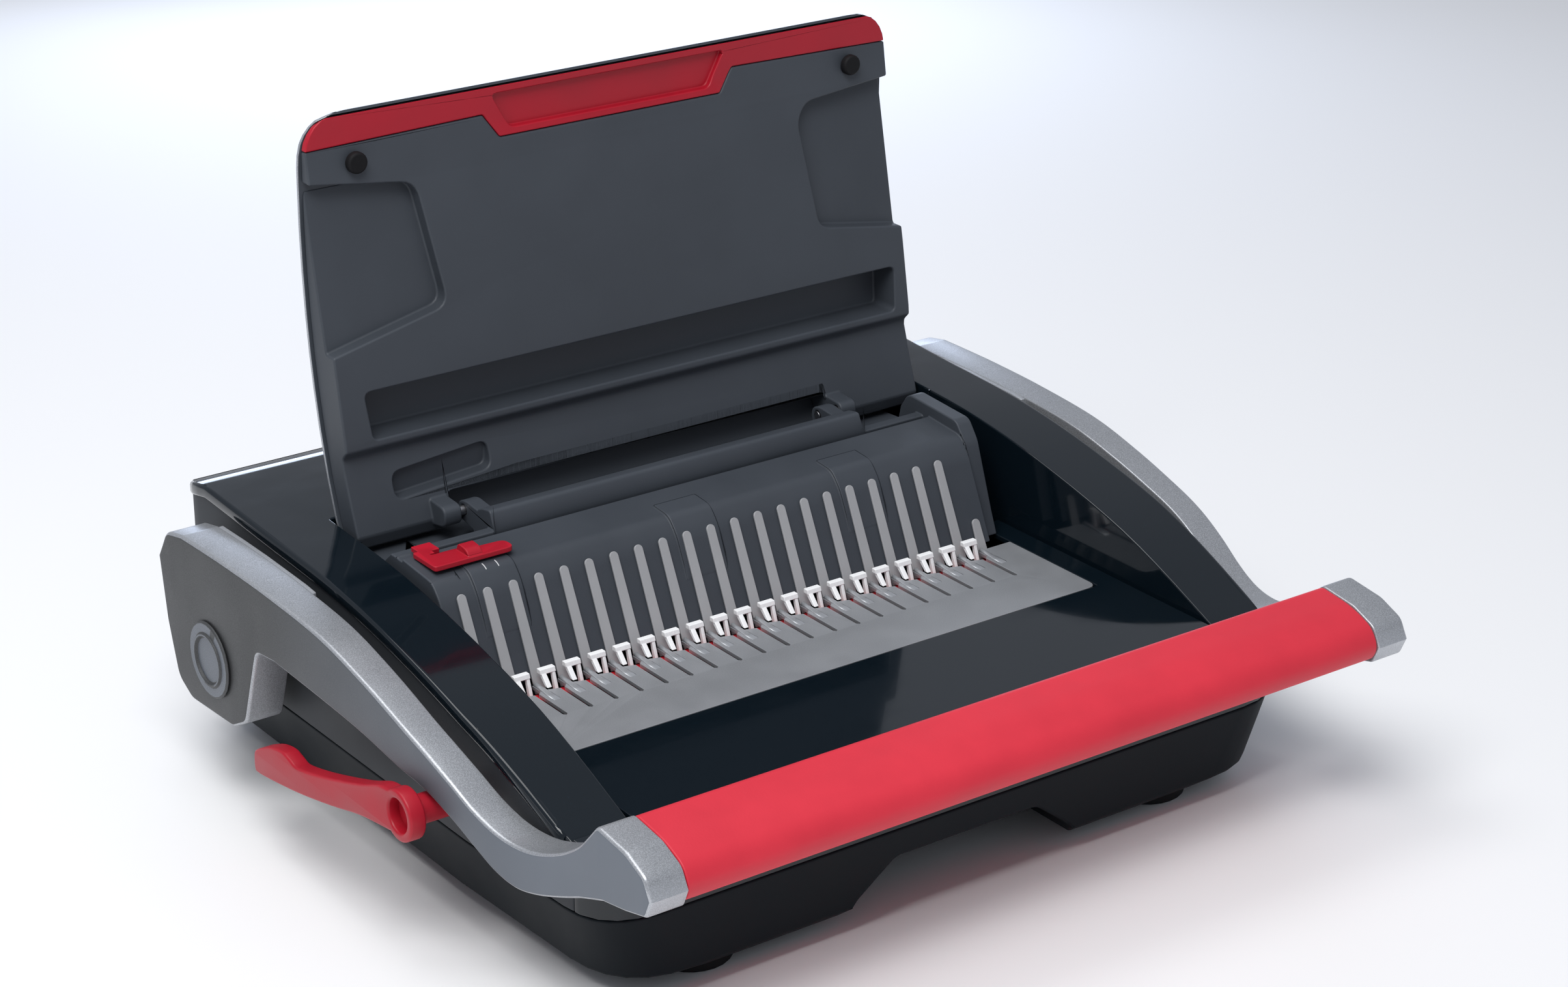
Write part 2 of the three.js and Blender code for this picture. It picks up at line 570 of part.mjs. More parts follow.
const TRIM_EDGE = [[180, 236.5], [74, 238.5], [65.5, 226.4], [-65.5, 226.4], [-74, 238.5], [-180, 236.5]];
function makeLidPanel() {
  const lowerEdge = TRIM_EDGE.map(([x, z]) => [x, z - GAP]);
  const face = outline([
    [-LID_HALF, LID_Z[0], 8], [HINGE_NOTCH[0], LID_Z[0], 3], [HINGE_NOTCH[0], NOTCH_TOP_Z, 4],
    [HINGE_NOTCH[1], NOTCH_TOP_Z, 4], [HINGE_NOTCH[1], LID_Z[0], 3], [LID_HALF, LID_Z[0], 8], ...lowerEdge,
  ]);
  const recess = (edge, stop) => prism('y', outline(edge), 136, 180).subtract(stop);
  const pocketFloor = prism('x', new THREE.Shape(corners([154.7, 130], [172.1, 219], [173, 226], [220, 226], [220, 130])), -200, 200);
  const backstop = prism('x', new THREE.Shape([
    ...through(LID_BACK).map((p) => new THREE.Vector2(p.x - 4.6, p.y)), ...corners([220, 250], [220, 40]),
  ]), -200, 200);
  const leftPocket = recess([[-180, 222], [-115, 213, 8], [-106, 152, 8], [-180, 137]], pocketFloor);
  const rightPocket = recess([[180, 219], [118, 213, 8], [112, 204, 8], [119, 148, 6], [180, 138]], pocketFloor);
  const channel = recess([[-156, 95.5, 3], [-158, 119, 4], [164, 119, 4], [162, 95.5, 3]], backstop);
  const pill = prism('y', outline([[-147, 63, 5], [-92, 67, 5], [-92, 80, 5], [-147, 76, 5]]), 120, 146.5);
  const ear = outline([[HINGE.y - 5, 49, 4.5], [HINGE.y + 12, 46], [HINGE.y + 12, 60], [HINGE.y - 5, 59, 4.5]]);
  const ears = [[HINGE_NOTCH[0] - 10, HINGE_NOTCH[0]], [HINGE_NOTCH[1], HINGE_NOTCH[1] + 10]]
    .map(([a, b]) => prism('x', ear, a, b));
  const body = union(lidCore().intersect(prism('y', face, 100, 200)), ...ears);
  const bore = rod(HINGE.radius + GAP, HINGE_NOTCH[0] - 8, HINGE_NOTCH[1] + 8, HINGE.y, HINGE.z, 16);
  return [leftPocket, rightPocket, channel, pill, bore].reduce((part, cut) => part.subtract(cut), body);
}

function makeLidTrim() {
  const edge = TRIM_EDGE.slice().reverse();
  const face = outline([...edge, [180, 270], [-180, 270]]);
  const rounded = prism('y', lidFace(24, -1), 100, 200, 8);
  const scoop = prism('y', outline([[-59, 230, 3], [59, 230, 3], [69, 248, 3], [-69, 248, 3]]), 150, 169.4);
  return lidCore().intersect(prism('y', face, 100, 200)).intersect(rounded).subtract(scoop);
}

const makeBumper = (x) => turned([[0, 0], [5.4, 0], [5.4, 3], [4.6, 4], [0, 4]], 20)
  .rotate([90, 0, 0]).translate([x, 164.7 - GAP, 228.5]);

// ---------------------------------------------------------------- handle
const smooth = (t) => THREE.MathUtils.smoothstep(t, 0, 1);
const inward = (y) => smooth((ARM_CURVE_Y[0] - y) / (ARM_CURVE_Y[0] - ARM_CURVE_Y[1]));
const armOuter = (y) => ARM_OUTER + ARM_SPLAY * y * (1 - inward(y)) - (ARM_OUTER - CAP_OUTER) * inward(y);
const armInner = (y) => ARM_INNER - (ARM_INNER - CAP_INNER) * inward(y);

// [y, top, bottom] along the right arm
const ARM_STATIONS = [
  [180, 48.6, 13], [145, 48.8, 14], [107, 47.7, 13.5], [61, 44.2, 11], [26, 37, 8.2], [-4, 28.6, 4], [-27, 21, 1],
  [-46, 12.5, -6], [-62, 4, -14.5], [-76, -1.2, -21.5], [-90, -2.8, -24.5], [-104, -0.8, -22], [-120, 6, -16.5],
  [-134, 14, -10.5], [-146, 22.5, -6.5],
];

function makeRightArm() {
  const curve = (column) => new THREE.CatmullRomCurve3(
    ARM_STATIONS.map((row) => new THREE.Vector3(0, row[0], row[column])), false, 'centripetal',
  ).getPoints(20);
  const tops = curve(1);
  const bottoms = curve(2);
  const rings = tops.map((top, i) => {
    const low = bottoms[i];
    const outer = armOuter(top.y);
    const inner = armInner(top.y);
    return [
      new THREE.Vector3(inner, top.y, top.z - 0.6), new THREE.Vector3(inner + 0.8, top.y, top.z),
      new THREE.Vector3(outer - 2.4, top.y, top.z), new THREE.Vector3(outer - 0.7, top.y, top.z - 0.8),
      new THREE.Vector3(outer, top.y, top.z - 3), new THREE.Vector3(outer, low.y, low.z + 1.5),
      new THREE.Vector3(outer - 1.5, low.y, low.z), new THREE.Vector3(inner, low.y, low.z),
    ];
  });
  const pivotPlate = prism('x', outline([
    [121, 12, 0], [127, -5, 0], [136, -31, 8], [150, -38.5, 8], [192, -39.5, 6], [205, -32, 8], [213, -4, 8],
    [217.5, 30, 8], [208, 45, 8], [192, 48.6, 8], [121, 47.4, 0],
  ]), ARM_INNER, ARM_OUTER + ARM_SPLAY * PIVOT.y);
  const ledge = prism('x', outline([[98, 40.5], [98, 46.6], [107, 47.5], [145, 48.6], [180, 48.4], [192, 48.4], [192, 40.5]]),
    ARM_INNER - 2.3, ARM_INNER + 1);
  const end = outline([
    [-134, 13.4], [-148.5, 30.4, 3], [-170, 27.5, 10], [-184, 21.5, 6], [-189, 12, 5], [-185, 3, 4], [-169, -1, 6],
    [-152, -4, 6], [-134, -10.4],
  ]);
  const cap = prism('x', end, CAP_INNER, CAP_OUTER);
  const socket = rod(SHAFT_RADIUS + GAP, ARM_INNER - 1, ARM_INNER + 12, PIVOT.y, PIVOT.z);
  return union(loft(rings), pivotPlate, ledge, cap).subtract(socket);
}

const makeGrip = () => prism('x', outline([
  [-141, 19, 4], [-148.5, 30.2, 3], [-170, 27.3, 10], [-184, 21.3, 6], [-188.8, 12, 5], [-184.5, 4, 4],
  [-168, 4.5, 8], [-148, 11, 5],
]), -CAP_INNER + GAP, CAP_INNER - GAP, 7);

// The cam works on the flat rear face of a follower: its reach falls evenly with the turn, and its
// outline is the curve that such a face touches, so the punch returns evenly as the handle rises.
function makeCam(x) {
  const reach = PIVOT.y - FOLLOWER_REAR_Y - 0.9;
  const fall = PUNCH_STROKE / THREE.MathUtils.degToRad(HANDLE_SWING);
  const base = SHAFT_RADIUS + 1.6;
  const steps = 10;
  const lastTurn = THREE.MathUtils.degToRad(HANDLE_SWING + 7);
  const touched = Array.from({ length: steps + 1 }, (_, i) => {
    const turn = (lastTurn * i) / steps;
    const [across, along] = [Math.cos(Math.PI + turn), Math.sin(Math.PI + turn)];
    const lift = reach - fall * turn;
    return new THREE.Vector2(lift * across + fall * along, lift * along - fall * across);
  });
  const shape = new THREE.Shape(touched);
  const from = touched[steps].angle();
  shape.absarc(0, 0, base, from, touched[0].angle() + 2 * Math.PI, false);
  shape.closePath();
  const lobe = prism('x', shape, x - 6, x + 6, 10).translate([0, PIVOT.y, PIVOT.z]);
  return lobe.subtract(rod(SHAFT_RADIUS + GAP, x - 8, x + 8, PIVOT.y, PIVOT.z));
}

const makeShaft = () => rod(SHAFT_RADIUS, -ARM_INNER - 11, ARM_INNER + 11, PIVOT.y, PIVOT.z);

function makePivotCap() {
  const face = ARM_OUTER + ARM_SPLAY * PIVOT.y + GAP;
  return turned([[0, 0], [19.5, 0], [20, 0.8], [19, 1.6], [14.2, 1.6], [13.6, 2.6], [12.4, 2.6], [11.6, 1.2], [0, 1.2]], 24)
    .rotate([0, 90, 0]).translate([face, PIVOT.y, PIVOT.z]);
}

function makeSpacer() {
  const ring = rod(13, COVER_HALF + GAP, ARM_INNER - GAP, PIVOT.y, PIVOT.z);
  return ring.subtract(rod(SHAFT_RADIUS + GAP, COVER_HALF - 2, ARM_INNER + 2, PIVOT.y, PIVOT.z));
}

// ---------------------------------------------------------------- the machine
piece('base_tub', makeBaseTub(), BASE_GREY);
Object.entries(FEET).forEach(([corner, place]) => piece(`foot_${corner}`, makeFoot(place), RUBBER));
piece('top_cover', makeTopCover(), GLOSS_BLACK);
piece('front_tray', makeFrontTray(), GLOSS_BLACK);
piece('punch_plate', makePunchPlate(), PLATE_STEEL);
piece('comb_fingers', makeCombFingers(), FINGER_GREY);
piece('comb_housing', makeCombHousing(), DARK_GREY);
piece('die_bar', makeDieBar(), STEEL);
piece('punch_guide', makePunchGuide(), STEEL);
piece('lever_bearing', makeLeverBearing(), STEEL);
piece('spacer_right', makeSpacer(), BASE_GREY);
piece('spacer_left', mirrorX(makeSpacer()), BASE_GREY);

piece('punch_bar', makePunchBar(), STEEL);
piece('punch_pins', makePunchPins(), STEEL);

piece('arm_right', makeRightArm(), SILVER);
piece('arm_left', mirrorX(makeRightArm()), SILVER);
piece('handle_grip', makeGrip(), GRIP_RED);
piece('handle_shaft', makeShaft(), STEEL);
piece('cam_left', makeCam(-120), STEEL);
piece('cam_right', makeCam(120), STEEL);
piece('pivot_cap_right', makePivotCap(), SILVER);
piece('pivot_cap_left', mirrorX(makePivotCap()), SILVER);

piece('lid_shell', makeLidShell(), SILVER);
piece('lid_panel', makeLidPanel(), DARK_GREY);
piece('lid_trim', makeLidTrim(), RED);
piece('lid_bumper_left', makeBumper(-146.8), RUBBER);
piece('lid_bumper_right', makeBumper(146.8), RUBBER);
piece('lid_pin_left', rod(HINGE.radius, HINGE_NOTCH[0] - 7.7, -107, HINGE.y, HINGE.z, 16), STEEL);
piece('lid_pin_right', rod(HINGE.radius, 100, HINGE_NOTCH[1] + 7.7, HINGE.y, HINGE.z, 16), STEEL);

piece('comb_lever', makeCombLever(), RED);
piece('lever_shaft', makeLeverShaft(), STEEL);
piece('lever_pinion', makePinion(), STEEL);
piece('hook_bar', makeHookBar(), HOOK_WHITE);
piece('hook_rack', makeHookRack(), STEEL);

piece('paper_guide', makePaperGuide(), RED);
piece('chip_drawer', makeChipDrawer(), BASE_GREY);

// The origin is the middle of the footprint, on the table.
const box = new THREE.Box3().setFromObject(machine);
machine.position.set(-(box.min.x + box.max.x) / 2, -(box.min.y + box.max.y) / 2, -TABLE_Z);

export default machine;
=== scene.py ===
"""Looks of a desktop comb binding machine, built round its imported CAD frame.

Lengths are in metres; a name ending in _mm is in millimetres. The machine's own frame has +X along
the binding edge, +Y from the handle to the hinge side and +Z up, with the table at Z = 0.
"""
import logging
import math
from dataclasses import dataclass
from enum import Enum
from typing import Callable, Optional, Sequence

import bmesh
import bpy
from mathutils import Matrix, Vector
from mathutils.bvhtree import BVHTree


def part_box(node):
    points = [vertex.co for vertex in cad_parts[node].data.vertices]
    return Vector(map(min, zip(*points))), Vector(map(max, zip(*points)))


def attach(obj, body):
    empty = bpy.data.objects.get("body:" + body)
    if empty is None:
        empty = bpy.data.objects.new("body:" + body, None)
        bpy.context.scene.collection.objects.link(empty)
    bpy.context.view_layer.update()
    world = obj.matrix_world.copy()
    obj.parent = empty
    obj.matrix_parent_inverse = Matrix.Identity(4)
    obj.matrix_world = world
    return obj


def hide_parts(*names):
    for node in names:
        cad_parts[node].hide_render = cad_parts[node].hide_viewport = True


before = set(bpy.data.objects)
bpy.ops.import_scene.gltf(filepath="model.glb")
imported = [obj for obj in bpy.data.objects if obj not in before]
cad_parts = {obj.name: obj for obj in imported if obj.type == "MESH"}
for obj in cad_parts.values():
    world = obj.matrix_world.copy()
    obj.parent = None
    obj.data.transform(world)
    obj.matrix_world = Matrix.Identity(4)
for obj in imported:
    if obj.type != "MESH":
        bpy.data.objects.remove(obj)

LOG = logging.getLogger("comb_binder")
MM = 0.001
MERGE = 2e-6
FINE_MERGE = 1e-6
FLAT_ANGLE = math.radians(0.4)
# Pointiness range over which convex edges get a painted highlight.
EDGE_HIGHLIGHT_POINTINESS = (0.52, 0.62)
DOWN = Vector((0, 0, -1))

Colour = tuple[float, float, float]
Point = tuple[float, float, float]
Pair = tuple[float, float]
Corner = tuple[float, ...]
Socket = bpy.types.NodeSocket
Piece = bpy.types.Object
FaceTest = Callable[[Vector, Vector], bool]


# ---------------------------------------------------------------- finishes
class Recipe:
    """A material's node tree, with short calls that add nodes and join them."""

    def __init__(self, name: str) -> None:
        """Starts a material with a Principled shader and Object coordinates.

        Args:
            name: the material's name.
        """
        self.material = bpy.data.materials.new(name)
        self.material.use_nodes = True
        self.nodes = self.material.node_tree.nodes
        self.links = self.material.node_tree.links
        self.shader = self.nodes["Principled BSDF"]
        self.place = self.nodes.new("ShaderNodeTexCoord").outputs["Object"]
        self.normal: Optional[Socket] = None

    def noise(self, size: float, detail: float = 2.0, stretch: Point = (1, 1, 1)) -> Socket:
        """Soft noise.

        Args:
            size: how far apart its lumps are, in metres.
            detail: octaves of finer noise.
            stretch: scale of the pattern along X, Y and Z.
        Returns:
            The noise's factor socket.
        """
        mapping = self.nodes.new("ShaderNodeMapping")
        mapping.inputs["Scale"].default_value = stretch
        self.links.new(self.place, mapping.inputs["Vector"])
        node = self.nodes.new("ShaderNodeTexNoise")
        node.inputs["Scale"].default_value = 1.0 / size
        node.inputs["Detail"].default_value = detail
        self.links.new(mapping.outputs["Vector"], node.inputs["Vector"])
        return node.outputs["Fac"]

    def cells(self, size: float) -> Socket:
        """Voronoi cells.

        Args:
            size: how far apart their centres are, in metres.
        Returns:
            The socket of the distance to the nearest centre.
        """
        node = self.nodes.new("ShaderNodeTexVoronoi")
        node.inputs["Scale"].default_value = 1.0 / size
        self.links.new(self.place, node.inputs["Vector"])
        return node.outputs["Distance"]

    def along_y(self, start: float, end: float) -> Socket:
        """A factor that changes along the machine's Y axis.

        Args:
            start: where it is 0.
            end: where it is 1.
        Returns:
            The factor's socket.
        """
        axes = self.nodes.new("ShaderNodeSeparateXYZ")
        self.links.new(self.place, axes.inputs["Vector"])
        return self.span(axes.outputs["Y"], 0.0, 1.0, start, end)

    def edges(self) -> Socket:
        """A mask that is 1 on convex edges, where a lighter tint paints a highlight."""
        geometry = self.nodes.new("ShaderNodeNewGeometry")
        return self.span(geometry.outputs["Pointiness"], 0.0, 1.0, *EDGE_HIGHLIGHT_POINTINESS)

    def span(self, value: Socket, low: float, high: float,
             start: float = 0.3, end: float = 0.7) -> Socket:
        """Maps a value to another range and holds it at the ends of that.

        Args:
            value: the socket that is mapped.
            low: the result where the value is at its start.
            high: the result where the value is at its end.
            start: where the value's own range starts.
            end: where it ends.
        Returns:
            The mapped socket.
        """
        node = self.nodes.new("ShaderNodeMapRange")
        for name, number in (("From Min", start), ("From Max", end), ("To Min", low), ("To Max", high)):
            node.inputs[name].default_value = number
        self.links.new(value, node.inputs["Value"])
        return node.outputs["Result"]

    def blend(self, factor: Socket, first: object, second: object) -> Socket:
        """Mixes two colours.

        Args:
            factor: 0 for the first colour and 1 for the second.
            first: a colour or a socket.
            second: a colour or a socket.
        Returns:
            The mixed colour's socket.
        """
        node = self.nodes.new("ShaderNodeMix")
        node.data_type = "RGBA"
        self.links.new(factor, node.inputs["Factor"])
        for socket, value in ((node.inputs[6], first), (node.inputs[7], second)):
            if isinstance(value, Socket):
                self.links.new(value, socket)
            else:
                socket.default_value = (*value, 1.0)
        return node.outputs[2]

    def mottled(self, factor: Socket, colour: Colour, tints: Pair) -> Socket:
        """A colour that wanders between two tints of itself."""
        return self.blend(factor, *(tinted(colour, tint) for tint in tints))

    def lit_edges(self, body: Socket, colour: Colour, light: float) -> Socket:
        """A body colour with a lighter tint on convex edges, a painted highlight."""
        return self.blend(self.edges(), body, tinted(colour, light))

    def about(self, value: Socket, middle: float, wander: Pair) -> Socket:
        """A number that wanders to both sides of a middle one as a value does."""
        return self.span(value, middle + wander[0], middle + wander[1])

    def emboss(self, height: Socket, depth: float, strength: float = 1.0) -> None:
        """Raises the surface, on top of what was raised before.

        Args:
            height: the height map.
            depth: how deep it is, in metres.
            strength: how much of it shows.
        """
        node = self.nodes.new("ShaderNodeBump")
        node.inputs["Strength"].default_value = strength
        node.inputs["Distance"].default_value = depth
        self.links.new(height, node.inputs["Height"])
        if self.normal is not None:
            self.links.new(self.normal, node.inputs["Normal"])
        self.normal = node.outputs["Normal"]

    def set(self, **values: object) -> None:
        """Sets inputs of the shader.

        Args:
            values: a socket to link or a value to set, by the input's name with _ for a space.
        """
        for key, value in values.items():
            socket = self.shader.inputs[key.replace("_", " ")]
            if isinstance(value, Socket):
                self.links.new(value, socket)
            else:
                socket.default_value = value

    def done(self) -> bpy.types.Material:
        """Joins the raised normal to the shader.

        Returns:
            The finished material.
        """
        if self.normal is not None:
            self.links.new(self.normal, self.shader.inputs["Normal"])
        return self.material


def tinted(colour: Colour, by: float) -> Colour:
    """A colour made lighter or darker by a factor."""
    return tuple(min(1.0, channel * by) for channel in colour)


@dataclass(frozen=True)
class MouldedPlastic:
    """Injection moulded plastic with a fine spark-eroded grain."""

    name: str
    colour: Colour
    roughness: float
    grain_mm: float = 0.55
    depth_mm: float = 0.05
    edge_light: float = 1.35
    shine: float = 0.35
    cloud_size: float = 0.05
    tints: Pair = (0.93, 1.07)
    wander: Pair = (-0.05, 0.06)
    pit_spacing: float = 1.7
    pit_depth: float = 0.6

    def make(self) -> bpy.types.Material:
        """Builds the material.

        Returns:
            The material.
        """
        recipe = Recipe(self.name)
        cloud = recipe.noise(self.cloud_size, 3.0)
        body = recipe.mottled(recipe.span(cloud, 0.0, 1.0), self.colour, self.tints)
        recipe.emboss(recipe.noise(self.grain_mm * MM, 2.0), self.depth_mm * MM, 0.6)
        pits = recipe.cells(self.grain_mm * self.pit_spacing * MM)
        recipe.emboss(pits, self.depth_mm * self.pit_depth * MM, 0.35)
        recipe.set(Base_Color=recipe.lit_edges(body, self.colour, self.edge_light))
        recipe.set(Roughness=recipe.about(cloud, self.roughness, self.wander), Specular_IOR_Level=self.shine)
        return recipe.done()


@dataclass(frozen=True)
class GlossPlastic:
    """Polished black moulding under a clear coat, with a faint orange peel and a little dust."""

    name: str
    colour: Colour
    roughness: float
    coat: float = 0.25
    coat_roughness: float = 0.03
    shine: float = 0.4
    peel_mm: float = 0.012
    peel_size: float = 0.011
    smear_size: float = 0.035
    smear_stretch: Point = (1.0, 2.2, 1.0)
    dust_size: float = 0.0012
    dust_share: Pair = (0.70, 0.82)
    dust_light: float = 1.9
    wander: Pair = (-0.02, 0.05)

    def make(self) -> bpy.types.Material:
        """Builds the material.

        Returns:
            The material.
        """
        recipe = Recipe(self.name)
        recipe.emboss(recipe.noise(self.peel_size, 1.0), self.peel_mm * MM, 0.5)
        smears = recipe.noise(self.smear_size, 4.0, self.smear_stretch)
        dust = recipe.span(recipe.noise(self.dust_size, 1.0), 0.0, 1.0, *self.dust_share)
        recipe.set(Base_Color=recipe.blend(dust, self.colour, tinted(self.colour, self.dust_light)))
        recipe.set(Roughness=recipe.about(smears, self.roughness, self.wander), Specular_IOR_Level=self.shine)
        recipe.set(Coat_Weight=self.coat, Coat_Roughness=self.coat_roughness)
        return recipe.done()


@dataclass(frozen=True)
class SatinRed:
    """Coloured plastic with a satin skin and, on the grip, a soft leather-like grain."""

    name: str
    colour: Colour
    roughness: float
    grain_mm: float
    depth_mm: float
    edge_light: float = 1.25
    shine: float = 0.35
    cloud_size: float = 0.03
    tints: Pair = (0.94, 1.05)
    wander: Pair = (-0.04, 0.05)
    fine: float = 0.6

    def make(self) -> bpy.types.Material:
        """Builds the material.

        Returns:
            The material.
        """
        recipe = Recipe(self.name)
        cloud = recipe.noise(self.cloud_size, 3.0)
        body = recipe.mottled(recipe.span(cloud, 0.0, 1.0), self.colour, self.tints)
        recipe.emboss(recipe.cells(self.grain_mm * MM), self.depth_mm * MM, 0.5)
        recipe.emboss(recipe.noise(self.grain_mm * self.fine * MM, 2.0), self.depth_mm * self.fine * MM, 0.5)
        recipe.set(Base_Color=recipe.lit_edges(body, self.colour, self.edge_light))
        recipe.set(Roughness=recipe.about(cloud, self.roughness, self.wander), Specular_IOR_Level=self.shine)
        return recipe.done()


@dataclass(frozen=True)
class FlakePaint:
    """Metallic paint over a pebbled skin: bright flakes in a grey body."""

    name: str
    colour: Colour
    roughness: float
    metallic: float = 0.55
    pebble_mm: float = 1.3
    depth_mm: float = 0.07
    # front: a lighter colour blended in towards the front along Y, a painted reflection.
    front: Optional[Colour] = None
    painted_reflection_span: Pair = (0.08, -0.14)
    flake_mm: float = 0.45
    flake_share: Pair = (0.42, 0.62)
    tints: Pair = (0.80, 1.18)
    edge_light: float = 1.5
    cloud_size: float = 0.04
    wander: Pair = (-0.04, 0.05)

    def make(self) -> bpy.types.Material:
        """Builds the material.

        Returns:
            The material.
        """
        recipe = Recipe(self.name)
        flakes = recipe.span(recipe.noise(self.flake_mm * MM, 1.0), 0.0, 1.0, *self.flake_share)
        body = recipe.mottled(flakes, self.colour, self.tints)
        # Blends the front colour in towards the front: a painted reflection.
        if self.front is not None:
            body = recipe.blend(recipe.along_y(*self.painted_reflection_span), body, self.front)
        recipe.emboss(recipe.noise(self.pebble_mm * MM, 3.0), self.depth_mm * MM, 0.55)
        recipe.set(Base_Color=recipe.lit_edges(body, self.colour, self.edge_light), Metallic=self.metallic)
        recipe.set(Roughness=recipe.about(recipe.noise(self.cloud_size, 2.0), self.roughness, self.wander))
        return recipe.done()


@dataclass(frozen=True)
class Metal:
    """Bare or plated metal with a fine grain that may run one way, as rolling or grinding leaves it."""

    name: str
    colour: Colour
    roughness: float
    grain_mm: float = 0.35
    run: Point = (1.0, 1.0, 1.0)
    depth_mm: float = 0.012
    metallic: float = 1.0
    tints: Pair = (0.88, 1.10)
    edge_light: float = 1.3
    cloud_size: float = 0.02
    wander: Pair = (-0.05, 0.06)

    def make(self) -> bpy.types.Material:
        """Builds the material.

        Returns:
            The material.
        """
        recipe = Recipe(self.name)
        grain = recipe.noise(self.grain_mm * MM, 2.0, self.run)
        body = recipe.mottled(recipe.span(grain, 0.0, 1.0), self.colour, self.tints)
        recipe.emboss(grain, self.depth_mm * MM, 0.6)
        recipe.set(Base_Color=recipe.lit_edges(body, self.colour, self.edge_light), Metallic=self.metallic)
        recipe.set(Roughness=recipe.about(recipe.noise(self.cloud_size, 3.0), self.roughness, self.wander))
        return recipe.done()


MADE: dict[str, bpy.types.Material] = {}


class Finish(Enum):
    """Every finish on the machine, with the material slot that it belongs to."""

    GLOSS = (GlossPlastic("gloss_black", (0.0035, 0.0075, 0.0115), 0.08), "gloss_cover")
    HOUSING = (MouldedPlastic("housing_grey", (0.050, 0.058, 0.070), 0.50), "dark_plastic")
    SIDE = (MouldedPlastic("side_grey", (0.040, 0.044, 0.050), 0.55, shine=0.25), "dark_plastic")
    BASE = (
        MouldedPlastic("base_charcoal", (0.0085, 0.0115, 0.0145), 0.50, 0.7, 0.04, 1.2, 0.12),
        "base_plastic",
    )
    RED = (SatinRed("trim_red", (0.40, 0.008, 0.022), 0.40, 0.9, 0.02), "red_plastic")
    # A brighter red than the carrier's own, to make up for the shade under the plate: painted light.
    CARRIER_RED_BRIGHTENED = (SatinRed("carrier_red_painted_light", (0.75, 0.008, 0.022), 0.5, 0.9, 0.02), "red_plastic")
    GRIP = (SatinRed("grip_soft_red", (0.66, 0.030, 0.052), 0.48, 1.3, 0.05), "grip_red")
    SILVER = (FlakePaint("arm_silver", (0.42, 0.435, 0.46), 0.34), "silver_paint")
    # A darker copy of the arm silver for outward faces, painted shade, fading to a lighter blue-grey towards
    # the front, a painted reflection.
    SILVER_SHADED_SIDE = (
        FlakePaint("arm_side_painted_shade", (0.062, 0.064, 0.066), 0.50, 0.2, 1.3, 0.03, (0.15, 0.17, 0.20)),
        "silver_paint",
    )
    DISC = (FlakePaint("disc_blue_grey", (0.13, 0.145, 0.17), 0.36, 0.3, 1.3, 0.02), "silver_paint")
    PLATE = (
        Metal("plate_metal", (0.40, 0.415, 0.435), 0.40, 0.5, (1, 1, 1), 0.02, 0.6),
        "plate_steel",
    )
    FINGER = (MouldedPlastic("comb_finger_grey", (0.36, 0.365, 0.375), 0.45, 0.5, 0.02, 1.2), "finger_grey")
    HOOK = (
        Metal("plated_hook", (0.90, 0.91, 0.92), 0.30, 0.4, (1, 1, 0.2), 0.006, 0.0),
        "hook_bright",
    )
    STEEL = (Metal("machined_steel", (0.46, 0.46, 0.48), 0.32, 0.3, (6, 1, 1)), "steel")
    RUBBER = (MouldedPlastic("black_rubber", (0.009, 0.009, 0.010), 0.62, 0.6, 0.05, 1.6, 0.15), "rubber")
    MARK = (MouldedPlastic("white_ink", (0.62, 0.63, 0.64), 0.6, 0.4, 0.01, 1.0), "dark_plastic")

    @property
    def slot(self) -> str:
        """The material slot's name."""
        return self.value[1]

    @property
    def material(self) -> bpy.types.Material:
        """The material, made when it is first asked for.

        Returns:
            The same material each time.
        """
        if self.name not in MADE:
            MADE[self.name] = self.value[0].make()
        return MADE[self.name]


# ---------------------------------------------------------------- mesh work
class Datum:
    """The machine's own reference: middle plane, plate's front edge and plate's top."""

    middle = sum(corner.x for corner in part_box("base_tub")) / 2
    plate_front_mm = -33.3
    plate_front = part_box("punch_plate")[0].y
    plate_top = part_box("punch_plate")[1].z

    @classmethod
    def at(cls, x_mm: float, y_mm: float, z_mm: float) -> Vector:
        """A point in the frame from millimetres off the middle plane, the plate's origin and its top."""
        y = cls.plate_front + (y_mm - cls.plate_front_mm) * MM
        return Vector((cls.middle + x_mm * MM, y, cls.plate_top + z_mm * MM))


def skin_of(node: str) -> BVHTree:
    """A CAD node's surface, to drop points on to.

    Args:
        node: the CAD node.
    Returns:
        The tree to cast rays at.
    """
    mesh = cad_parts[node].data
    faces = [tuple(face.vertices) for face in mesh.polygons]
    return BVHTree.FromPolygons([corner.co for corner in mesh.vertices], faces)


def link(name: str, data: bpy.types.ID) -> Piece:
    """Puts something in the scene as an object at the origin.

    Args:
        name: the object's name.
        data: its mesh, curve, light or camera.
    Returns:
        The object.
    """
    item = bpy.data.objects.new(name, data)
    bpy.context.scene.collection.objects.link(item)
    return item


def settled(item: Piece) -> Piece:
    """Replaces an object's mesh by what its modifiers make of it, and removes them.

    Args:
        item: the object to work on.
    Returns:
        The same object.
    """
    graph = bpy.context.evaluated_depsgraph_get()
    mesh = bpy.data.meshes.new_from_object(item.evaluated_get(graph), depsgraph=graph)
    item.modifiers.clear()
    item.data = mesh
    return item


